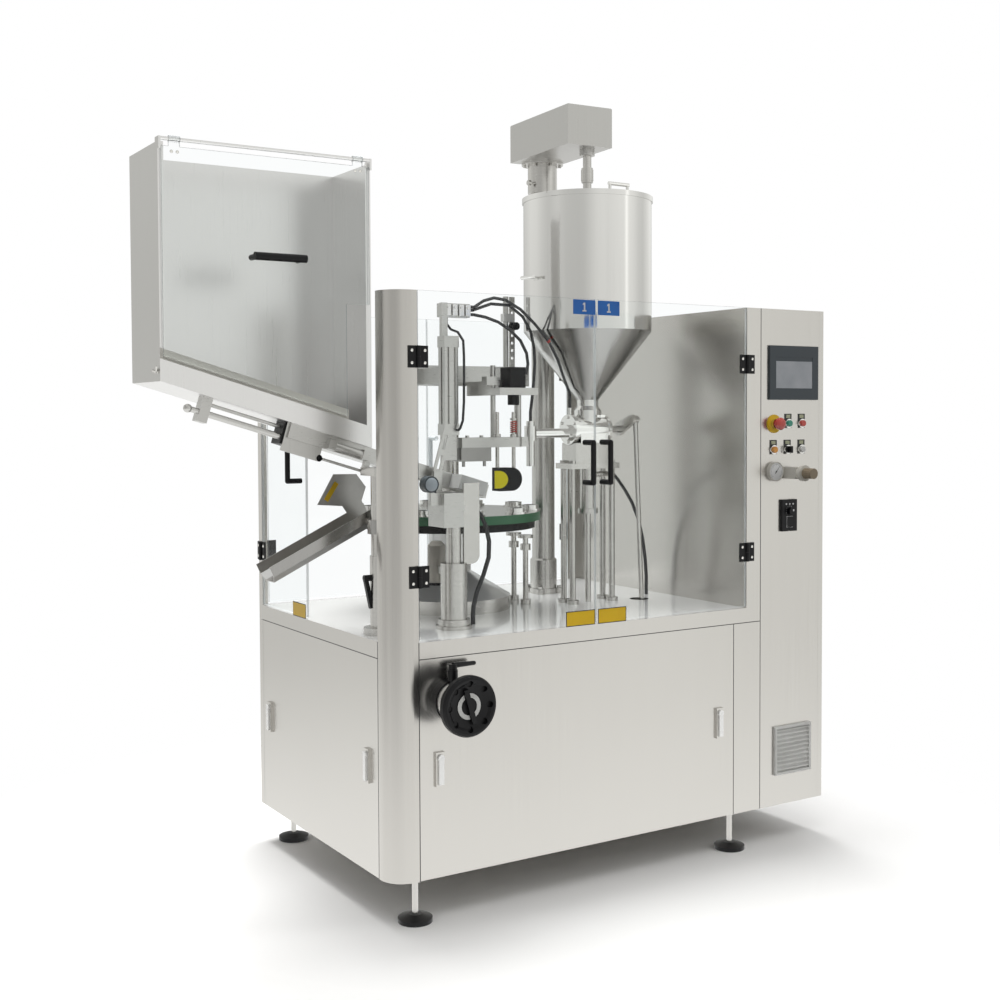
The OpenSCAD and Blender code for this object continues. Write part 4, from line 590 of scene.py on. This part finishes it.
SCREW_HEAD = ((4.6, 0.0), (4.6, 0.6), (4.0, 1.7), (2.9, 2.3), (2.1, 2.4), (1.9, 1.2), (0, 1.2))


def screws(name, body, frames):
    bm = bmesh.new()
    for frame_of in frames:
        add_lathe(bm, SCREW_HEAD, frame_of, segments=16)
    finish_piece(name, bm, MAT["zinc"], body)


# Hinge screws: two pale zinc heads on each leaf
HINGE_T = 5.0
HINGE_REACH = 20.0
HINGE_RISE = 17.0
HINGE_HEIGHTS = (968.0, 1570.0)
# Each hinge line: its place, which way its door lies, and the body of the moving leaf
HINGE_LINES = (
    ("front_left", (87.5, -HINGE_T), (1, 0), FACING_FRONT, "front_left_door"),
    ("front_right", (1280.5, -HINGE_T), (-1, 0), FACING_FRONT, "front_right_door"),
    ("side", (-HINGE_T, 919.5), (0, -1), FACING_LEFT, "side_door"),
    ("rear_left", (30.5, 950 + HINGE_T), (1, 0), FACING_REAR, "rear_left_door"),
    ("rear_right", (1239.5, 950 + HINGE_T), (-1, 0), FACING_REAR, "rear_right_door"),
)
for line, spot, along, facing, door in HINGE_LINES:
    for side, body in ((-1, "machine"), (1, door)):
        heads = []
        for height in HINGE_HEIGHTS:
            for rise in (-HINGE_RISE, HINGE_RISE):
                reach = side * HINGE_REACH
                x = spot[0] + along[0] * reach
                y = spot[1] + along[1] * reach
                heads.append(stand(at(x, y, height + rise), facing))
        screws("%s_hinge_screws_%s" % (line, "fixed" if side < 0 else "moving"), body, heads)

# Door plates: two blue station plates with a plain numeral, and blank stickers along the bottom
ONE = ((-6, 9), (-2, 13), (3, 13), (3, -9), (7, -9), (7, -13), (-7, -13), (-7, -9), (-2, -9),
       (-2, 7), (-6, 6))
DOOR_FACE = -0.2
STATION_PLATE = (80, 43)
PLATE_T = 0.8
PLATE_Z = 1726.5
STICKER_Z = 809.5
STICKER_RIM = 5
FRONT_STICKER = (100, 40)
SIDE_STICKER = (95, 40)
SIDE_STICKER_Y = 618
RIM_T = 0.4


def sticker(door, name, where, facing, size):
    """A plain yellow label on a black rim."""
    rim = (size[0] + STICKER_RIM, size[1] + STICKER_RIM)
    plate(name + "_edge", door, MAT["ink"], where, facing, rim, thick=RIM_T, radius=1.5, bevel=0.1)
    plate(name, door, MAT["yellow"], where, facing, size, thick=0.25, radius=1.0, bevel=0.05, base=RIM_T)


for side, plate_x, sticker_x in (("left", 643.5, 628.5), ("right", 732.5, 744.5)):
    door = "front_%s_door" % side
    where = at(plate_x, DOOR_FACE, PLATE_Z)
    plate(door + "_station_plate", door, MAT["blue"], where, FACING_FRONT, STATION_PLATE, PLATE_T)
    bm = bmesh.new()
    add_slab(bm, ONE, 0.25, stand(where, FACING_FRONT), bevel=0.05, base=PLATE_T)
    finish_piece(door + "_station_numeral", bm, MAT["print"], door)
    sticker(door, door + "_sticker", at(sticker_x, DOOR_FACE, STICKER_Z), FACING_FRONT, FRONT_STICKER)
sticker("side_door", "side_sticker", at(DOOR_FACE, SIDE_STICKER_Y, STICKER_Z), FACING_LEFT, SIDE_STICKER)

# Dark joints between the sheets: their width and thickness, and the edges of the sheets in the corner frame
SEAM_W = 2.4
SEAM_T = 0.25
FOOT_Z = 125.0
SKIRT_Z = 740.0
TABLE_Z = 787.0
GUARD_Z = 1751.0
COLUMN = (86.0, 81.0)
PANEL_END = 1228.0
BASE = (1342.0, 921.0)


def seam(name, facing, start, stop):
    """A thin dark line between two points on a face, in millimetres of the corner frame."""
    a = Vector(start)
    b = Vector(stop)
    way = b - a
    flat = max(abs(way.x), abs(way.y))
    size = (max(flat, SEAM_W), max(abs(way.z), SEAM_W))
    middle = at(*((a + b) / 2))
    plate(name, "machine", MAT["ink"], middle, facing, size, thick=SEAM_T, radius=0.4, bevel=0.05)


seam("front_skirt_seam", FACING_FRONT, (COLUMN[0], 0, SKIRT_Z), (BASE[0], 0, SKIRT_Z))
seam("left_skirt_seam", FACING_LEFT, (0, COLUMN[1], SKIRT_Z), (0, BASE[1], SKIRT_Z))
seam("column_front_seam", FACING_FRONT, (COLUMN[0], 0, FOOT_Z), (COLUMN[0], 0, TABLE_Z))
seam("column_left_seam", FACING_LEFT, (0, COLUMN[1], FOOT_Z), (0, COLUMN[1], TABLE_Z))
seam("panel_end_seam", FACING_FRONT, (PANEL_END, 0, FOOT_Z), (PANEL_END, 0, SKIRT_Z))
seam("cabinet_seam", FACING_FRONT, (BASE[0], 0, FOOT_Z), (BASE[0], 0, GUARD_Z))

# Control panel: a glass in the recess of the touch panel, and labels over the buttons
SCREEN_FACE = -6.0
SCREEN_DROP = 6.5
SCREEN = (161, 88)
panel_low, panel_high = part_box("touch_panel")
panel_mid = (Vector(panel_low) + Vector(panel_high)) / 2
screen_at = Vector((panel_mid.x, at(0, SCREEN_FACE, 0).y, panel_mid.z - SCREEN_DROP / 1000))
plate("touch_screen", "machine", MAT["screen"], screen_at, FACING_FRONT, SCREEN, thick=0.5, radius=1.0)
BUTTONS = {"start": (1461, 1380), "stop": (1521, 1380), "jog": (1396, 1295), "selector": (1458, 1295),
           "reset": (1520, 1295)}
LEGEND = (18, 11)
LEGEND_UP = 23
LEGEND_FACE = -1.5
ESTOP = (1399, 1379)
ESTOP_DISC = (32, 34)
LEGEND_FRONT = at(0, -1.8, 0).y
DISC_FRONT = at(0, -3.3, 0).y
ESTOP_X = at(ESTOP[0] + ESTOP_DISC[0], 0, 0).x
ESTOP_Z = at(0, 0, ESTOP[1] - ESTOP_DISC[1]).z


def on_estop_disc(c, n):
    return c.y > DISC_FRONT and c.x < ESTOP_X and c.z > ESTOP_Z


paint_faces("control_bezels", MAT["ink"], lambda c, n: c.y > LEGEND_FRONT)
paint_faces("control_bezels", MAT["yellow"], on_estop_disc)
for name, (x, z) in BUTTONS.items():
    where = at(x, LEGEND_FACE, z + LEGEND_UP)
    label = MAT["legend"]
    plate(name + "_legend", "machine", label, where, FACING_FRONT, LEGEND, thick=0.4, radius=0.8, bevel=0.1)

# Gauge: a white dial with a scale and a needle
GAUGE = (1399, 1224)
GAUGE_FACE = -12
DIAL = ((28.3, 0), (28.3, 0.3), (27.6, 0.5), (0, 0.5))
DIAL_T = 0.5
SCALE_START = -135.0
SCALE_SWEEP = 270.0
SCALE_MARKS = 31
SCALE_R = 24.5
MARK_HALF = 0.35
LONG_MARK = 5.0
SHORT_MARK = 2.6
LONG_EVERY = 5
NEEDLE = ((-1.2, -8), (1.2, -8), (0.3, 21), (-0.3, 21))
NEEDLE_UP = 1.0
NEEDLE_TURN = -0.7
NEEDLE_HUB = ((2.6, 0.5), (2.6, 1.6), (1.6, 2.1), (0, 2.1))


def mark_outline(half, inner, outer):
    return ((-half, inner), (half, inner), (half, outer), (-half, outer))


gauge_frame = stand(at(GAUGE[0], GAUGE_FACE, GAUGE[1]), FACING_FRONT)
bm = bmesh.new()
add_lathe(bm, DIAL, gauge_frame, segments=40)
finish_piece("gauge_dial", bm, MAT["print"], "machine")
bm = bmesh.new()
for k in range(SCALE_MARKS):
    angle = math.radians(SCALE_START + SCALE_SWEEP * k / (SCALE_MARKS - 1))
    length = SHORT_MARK if k % LONG_EVERY else LONG_MARK
    mark = mark_outline(MARK_HALF, SCALE_R - length, SCALE_R)
    add_slab(bm, mark, 0.15, gauge_frame @ Matrix.Rotation(angle, 4, "Z"), bevel=0.02, base=DIAL_T)
finish_piece("gauge_scale", bm, MAT["ink"], "machine")
bm = bmesh.new()
needle_frame = gauge_frame @ Matrix.Rotation(NEEDLE_TURN, 4, "Z")
add_slab(bm, NEEDLE, 0.3, needle_frame, bevel=0.05, base=NEEDLE_UP)
add_lathe(bm, NEEDLE_HUB, gauge_frame, segments=16)
finish_piece("gauge_needle", bm, MAT["needle"], "machine")

# Speed controller: lamps, a scale round the knob, a white pointer and a framed rocker
SPEED = (1462, 1079)
SPEED_FACE = -9.0
LAMP = ((3.2, 0), (3.2, 0.6), (2.0, 1.4), (0, 1.5))
LAMP_PITCH = 15
LAMP_UP = 37
KNOB_UP = 14
KNOB_FACE = -22
KNOB_MARKS = 11
KNOB_MARK = mark_outline(0.4, 14.5, 17.5)
ROCKER_DOWN = 21
ROCKER_T = 1.0
ROCKER_OUTER = rounded_outline(27, 37, 2)
ROCKER_INNER = rounded_outline(22, 32, 1.5)
POINTER = ((3.4, 0), (3.4, 0.3), (3.0, 0.5), (0, 0.5))
POINTER_AT = (5, 3)
bm = bmesh.new()
for k in (-1, 0, 1):
    lamp_at = at(SPEED[0] + LAMP_PITCH * k, SPEED_FACE, SPEED[1] + LAMP_UP)
    add_lathe(bm, LAMP, stand(lamp_at, FACING_FRONT), segments=14)
knob_at = at(SPEED[0], SPEED_FACE, SPEED[1] + KNOB_UP)
for k in range(KNOB_MARKS):
    angle = math.radians(SCALE_START + SCALE_SWEEP * k / (KNOB_MARKS - 1))
    add_slab(bm, KNOB_MARK, 0.2, stand(knob_at, FACING_FRONT, angle), bevel=0.03)
frame_of = stand(at(SPEED[0], SPEED_FACE, SPEED[1] - ROCKER_DOWN), FACING_FRONT)
rings = []
rocker_frame = ((ROCKER_OUTER, 0.0), (ROCKER_OUTER, ROCKER_T), (ROCKER_INNER, ROCKER_T), (ROCKER_INNER, 0.0))
for outline, height in rocker_frame:
    rings.append([bm.verts.new(frame_of @ (Vector((x, y, height)) / 1000)) for x, y in outline])
for low, high in zip(rings, rings[1:]):
    bridge(bm, low, high)
finish_piece("speed_controller_marks", bm, MAT["print"], "machine")
pointer_at = at(SPEED[0] + POINTER_AT[0], KNOB_FACE, SPEED[1] + KNOB_UP + POINTER_AT[1])
bm = bmesh.new()
add_lathe(bm, POINTER, stand(pointer_at, FACING_FRONT), segments=16)
finish_piece("speed_knob_pointer", bm, MAT["print"], "speed_knob")

# Sealing head: a plain yellow tag on its front, and the return spring on the right guide
HEAD_FRONT = 275.0
HEAD_MIDDLE_Z = 1212.0
TAG_LEFT = 501.0
TAG_STRAIGHT = 16.0
TAG_REACH = 32.0
TAG_HALF = 27.0
TAG_T = 2.5
TAG_STEPS = 24
tag = []
for k in range(TAG_STEPS + 1):
    angle = math.radians(-90 + 180 * k / TAG_STEPS)
    tag.append((TAG_STRAIGHT + TAG_REACH * math.cos(angle), TAG_HALF * math.sin(angle)))
tag.append((0, TAG_HALF))
tag.append((0, -TAG_HALF))
bm = bmesh.new()
add_slab(bm, tag, TAG_T, stand(at(TAG_LEFT, HEAD_FRONT, HEAD_MIDDLE_Z), FACING_FRONT))
finish_piece("sealing_head_tag", bm, MAT["lemon"], "sealing_head")


def add_tube(bm, spots, radius, sides=8):
    """A round wire along a list of points, in millimetres of the corner frame."""
    rings = []
    for k, spot in enumerate(spots):
        before = Vector(spots[max(0, k - 1)])
        after = Vector(spots[min(len(spots) - 1, k + 1)])
        way = (after - before).normalized()
        side = way.cross(Vector((0, 0, 1)) if abs(way.z) < 0.9 else Vector((1, 0, 0))).normalized()
        up = side.cross(way)
        ring = []
        for j in range(sides):
            angle = 2 * math.pi * j / sides
            place = Vector(spot) + radius * (math.cos(angle) * side + math.sin(angle) * up)
            ring.append(bm.verts.new(at(*place)))
        rings.append(ring)
    for low, high in zip(rings, rings[1:]):
        bridge(bm, low, high)
    bm.faces.new(rings[0][::-1])
    bm.faces.new(rings[-1])


SPRING_AT = (590.0, 305.0)
SPRING_Z = (1354.5, 1392.0)
SPRING_R = 9.8
SPRING_WIRE_R = 1.9
SPRING_TURNS = 6
TURN_STEPS = 16
coil = []
for k in range(SPRING_TURNS * TURN_STEPS + 1):
    angle = 2 * math.pi * k / TURN_STEPS
    x = SPRING_AT[0] + SPRING_R * math.cos(angle)
    y = SPRING_AT[1] + SPRING_R * math.sin(angle)
    z = SPRING_Z[0] + (SPRING_Z[1] - SPRING_Z[0]) * k / (SPRING_TURNS * TURN_STEPS)
    coil.append((x, y, z))
bm = bmesh.new()
add_tube(bm, coil, SPRING_WIRE_R)
finish_piece("return_spring", bm, MAT["red"], "sealing_head", sharp=60)

# Sensor: a pale glass in the recess of the black barrel
LENS_AT = (206, 140, 1212)
LENS = ((19.5, 0), (19.5, 0.8), (18.5, 1.5), (10.0, 2.4), (5.0, 2.8), (0, 2.9))
bm = bmesh.new()
add_lathe(bm, LENS, stand(at(*LENS_AT), FACING_FRONT), segments=32)
finish_piece("sensor_glass", bm, MAT["lens"], "machine")

# Magazine: hinge screws, and the wing nut of the lip on the left side
MAGAZINE_SCREWS = (-510, -494, 21, 37)
MAGAZINE_SCREW_Y = 242
MAGAZINE_SCREW_Z = 2104
heads = []
for x in MAGAZINE_SCREWS:
    heads.append(stand(at(x, MAGAZINE_SCREW_Y, MAGAZINE_SCREW_Z), FACING_FRONT))
screws("magazine_hinge_screws", "magazine_cover", heads)
WING = ((-15, 5), (-13, 8), (-8, 7), (-4, 3), (4, 3), (8, 7), (13, 8), (15, 5), (9, -1), (5, -4),
        (-5, -4), (-9, -1))
WING_T = 4.0
WING_UP = 5.0
WING_NUT = ((7.0, 0), (7.0, 2.0), (5.0, 3.0), (5.0, 9.0), (3.5, 10.0), (3.5, 16.0), (0, 16.0))
WING_AT = (MAGAZINE_X, 268, 1530)
WING_TURN = 0.5
wing_frame = stand(at(*WING_AT), FACING_LEFT, WING_TURN)
bm = bmesh.new()
add_lathe(bm, WING_NUT, wing_frame, segments=16)
add_slab(bm, WING, WING_T, wing_frame, bevel=0.8, base=WING_UP)
finish_piece("lip_wing_nut", bm, MAT["machined"], "machine")

# Chute hood: a blank sticker on its sheet
HOOD_STICKER = (62, 15)
HOOD_STICKER_AT = (-15, 342.5, 1190)
HOOD_SLOPE = math.radians(56)
hood_frame = stand(at(*HOOD_STICKER_AT), FACING_FRONT, HOOD_SLOPE)
bm = bmesh.new()
add_slab(bm, rounded_outline(*HOOD_STICKER, 1.5), 0.4, hood_frame, bevel=0.1)
finish_piece("hood_sticker", bm, MAT["yellow"], "machine")

# A red tie round the air hose, along the way from the point before it to the point after it
TIE_BEFORE = Vector((705, 358, 1702))
TIE_AT = Vector((760, 360, 1648))
TIE_AFTER = Vector((798, 364, 1590))
TIE = ((5.2, -4), (6.4, -4), (6.8, -3), (6.8, 3), (6.4, 4), (5.2, 4), (5.2, -4))
tie_way = (TIE_AFTER - TIE_BEFORE).normalized()
tie_frame = Matrix.Translation(at(*TIE_AT)) @ tie_way.to_track_quat("Z", "Y").to_matrix().to_4x4()
bm = bmesh.new()
add_lathe(bm, TIE, tie_frame, segments=16)
bmesh.ops.remove_doubles(bm, verts=bm.verts, dist=0.000001)
finish_piece("hose_tie", bm, MAT["red"], "machine")


# Studio: a white backdrop for the camera, soft bands of light for reflections, and light from above
# Brightness round the horizon: left rear (0), front (0.25), right (0.5), rear (0.75) and left rear again
ROUND_STOPS = (
    (0.0, 0.74), (0.05, 0.64), (0.107, 0.62), (0.137, 0.64), (0.166, 0.74), (0.196, 0.84), (0.226, 0.88),
    (0.256, 0.86), (0.288, 0.90), (0.321, 0.93), (0.344, 0.95), (0.356, 1.40), (0.368, 0.97), (0.395, 0.92),
    (0.439, 0.76), (0.475, 0.72), (0.492, 0.78), (0.54, 0.92), (0.572, 0.98), (0.66, 0.52), (0.73, 0.70),
    (0.811, 0.88), (0.864, 0.86), (0.908, 0.74), (0.946, 0.66), (1.0, 0.74),
)
# Brightness from straight down (0) over the horizon (0.5) to straight up (1)
HEIGHT_STOPS = (
    (0.0, 1.10), (0.37, 1.0), (0.415, 0.84), (0.455, 1.02), (0.50, 1.00), (0.545, 0.93), (0.58, 1.02),
    (0.75, 1.0), (1.0, 1.05),
)
# Share of the bright floor in what metal reflects, at the same heights, and its level
FLOOR_STOPS = ((0.0, 1.0), (0.35, 1.0), (0.415, 0.0), (1.0, 0.0))
FLOOR_LEVEL = 1.28
# Light from the sky on everything that is not a mirror
ABOVE_STOPS = ((0.0, 0.02), (0.48, 0.02), (0.54, 0.08), (0.64, 0.36), (0.75, 0.48), (1.0, 0.56))
# The light is a little warm: its share of blue
WARM = 0.985


def grey_ramp(tree, stops):
    ramp = tree.nodes.new("ShaderNodeValToRGB")
    marks = ramp.color_ramp.elements
    while len(marks) < len(stops):
        marks.new(0.5)
    for mark, (place, level) in zip(marks, stops):
        mark.position = place
        mark.color = (level, level, level * WARM, 1)
    return ramp


def make_world():
    world = bpy.data.worlds.new("studio")
    scene.world = world
    world.use_nodes = True
    tree = world.node_tree
    tree.nodes.clear()
    link = tree.links.new
    out = tree.nodes.new("ShaderNodeOutputWorld")
    path = tree.nodes.new("ShaderNodeLightPath")
    where = tree.nodes.new("ShaderNodeTexCoord")
    split = tree.nodes.new("ShaderNodeSeparateXYZ")
    link(where.outputs["Generated"], split.inputs["Vector"])
    turn = tree.nodes.new("ShaderNodeMath")
    turn.operation = "ARCTAN2"
    link(split.outputs["Y"], turn.inputs[0])
    link(split.outputs["X"], turn.inputs[1])
    round_place = tree.nodes.new("ShaderNodeMapRange")
    round_place.inputs["From Min"].default_value = -math.pi
    round_place.inputs["From Max"].default_value = math.pi
    link(turn.outputs[0], round_place.inputs["Value"])
    height_place = tree.nodes.new("ShaderNodeMapRange")
    height_place.inputs["From Min"].default_value = -1.0
    link(split.outputs["Z"], height_place.inputs["Value"])
    bands = grey_ramp(tree, ROUND_STOPS)
    rise = grey_ramp(tree, HEIGHT_STOPS)
    above = grey_ramp(tree, ABOVE_STOPS)
    ground = grey_ramp(tree, FLOOR_STOPS)
    link(round_place.outputs["Result"], bands.inputs["Fac"])
    for ramp in (rise, above, ground):
        link(height_place.outputs["Result"], ramp.inputs["Fac"])
    both = tree.nodes.new("ShaderNodeMix")
    both.data_type = "RGBA"
    both.blend_type = "MULTIPLY"
    both.inputs[0].default_value = 1.0
    link(bands.outputs["Color"], both.inputs[6])
    link(rise.outputs["Color"], both.inputs[7])
    with_floor = tree.nodes.new("ShaderNodeMix")
    with_floor.data_type = "RGBA"
    with_floor.inputs[7].default_value = (FLOOR_LEVEL, FLOOR_LEVEL, FLOOR_LEVEL * WARM, 1)
    link(ground.outputs["Color"], with_floor.inputs[0])
    link(both.outputs[2], with_floor.inputs[6])
    seen = tree.nodes.new("ShaderNodeBackground")
    mirrored = tree.nodes.new("ShaderNodeBackground")
    lit = tree.nodes.new("ShaderNodeBackground")
    seen.inputs["Color"].default_value = (1, 1, 1, 1)
    link(with_floor.outputs[2], mirrored.inputs["Color"])
    link(above.outputs["Color"], lit.inputs["Color"])
    direct = tree.nodes.new("ShaderNodeMath")
    direct.operation = "SUBTRACT"
    direct.use_clamp = True
    link(path.outputs["Is Glossy Ray"], direct.inputs[0])
    link(path.outputs["Diffuse Depth"], direct.inputs[1])
    first = tree.nodes.new("ShaderNodeMixShader")
    second = tree.nodes.new("ShaderNodeMixShader")
    link(direct.outputs[0], first.inputs["Fac"])
    link(lit.outputs[0], first.inputs[1])
    link(mirrored.outputs[0], first.inputs[2])
    link(path.outputs["Is Camera Ray"], second.inputs["Fac"])
    link(first.outputs[0], second.inputs[1])
    link(seen.outputs[0], second.inputs[2])
    link(second.outputs[0], out.inputs["Surface"])


def area(name, where, aim, size, power):
    """A soft lamp that metal doesn't mirror."""
    data = bpy.data.lights.new(name, "AREA")
    data.shape = "RECTANGLE"
    data.size = size[0]
    data.size_y = size[1]
    data.energy = power
    lamp = bpy.data.objects.new(name, data)
    scene.collection.objects.link(lamp)
    lamp.location = where
    lamp.rotation_euler = (Vector(aim) - Vector(where)).to_track_quat("-Z", "Y").to_euler()
    lamp.visible_glossy = False


# Half the floor's width, and the distances between which it fades into the backdrop, in metres
FLOOR_REACH = 6.0
FLOOR_FADE = (1.05, 1.9)


def make_floor():
    """A pale floor that takes the machine's shadow and fades into the white backdrop further out."""
    mesh = bpy.data.meshes.new("floor")
    reach = FLOOR_REACH
    rim = [(-reach, -reach, 0), (reach, -reach, 0), (reach, reach, 0), (-reach, reach, 0)]
    mesh.from_pydata(rim, [], [(0, 1, 2, 3)])
    floor = bpy.data.objects.new("floor", mesh)
    scene.collection.objects.link(floor)
    s = Shader("floor_white")
    body = s.add("ShaderNodeBsdfDiffuse")
    broad = s.noise(FLOOR_MOTTLE, detail=3.0, rough=0.5)
    s.join(s.mix(s.remap(broad, 0.0, 1.0), (0.92, 0.915, 0.905), (0.94, 0.935, 0.925)), body.inputs["Color"])
    clear = s.add("ShaderNodeBsdfTransparent")
    distance = s.add("ShaderNodeVectorMath", operation="LENGTH")
    s.join(s.position((1, 1, 1)), distance.inputs[0])
    mixer = s.add("ShaderNodeMixShader")
    path = s.add("ShaderNodeLightPath")
    away = s.add("ShaderNodeMath", operation="MAXIMUM")
    s.join(s.remap(distance.outputs["Value"], 0.0, 1.0, FLOOR_FADE[0], FLOOR_FADE[1]), away.inputs[0])
    direct = s.add("ShaderNodeMath", operation="SUBTRACT", use_clamp=True)
    s.join(path.outputs["Is Glossy Ray"], direct.inputs[0])
    s.join(path.outputs["Diffuse Depth"], direct.inputs[1])
    s.join(direct.outputs[0], away.inputs[1])
    s.join(away.outputs[0], mixer.inputs["Fac"])
    s.join(body.outputs[0], mixer.inputs[1])
    s.join(clear.outputs[0], mixer.inputs[2])
    s.join(mixer.outputs[0], s.out.inputs["Surface"])
    mesh.materials.append(s.material)


make_world()
make_floor()
area("top", (0.2, 0.9, 4.6), aim=(0, 0.1, 0), size=(3.2, 2.4), power=305)
area("key", (-1.6, -2.6, 5.0), aim=(0, 0, 1.0), size=(2.4, 1.8), power=45)
area("side", (3.6, -2.6, 2.6), aim=(0.4, 0, 1.0), size=(1.2, 2.4), power=24)
scene.view_settings.view_transform = "Standard"
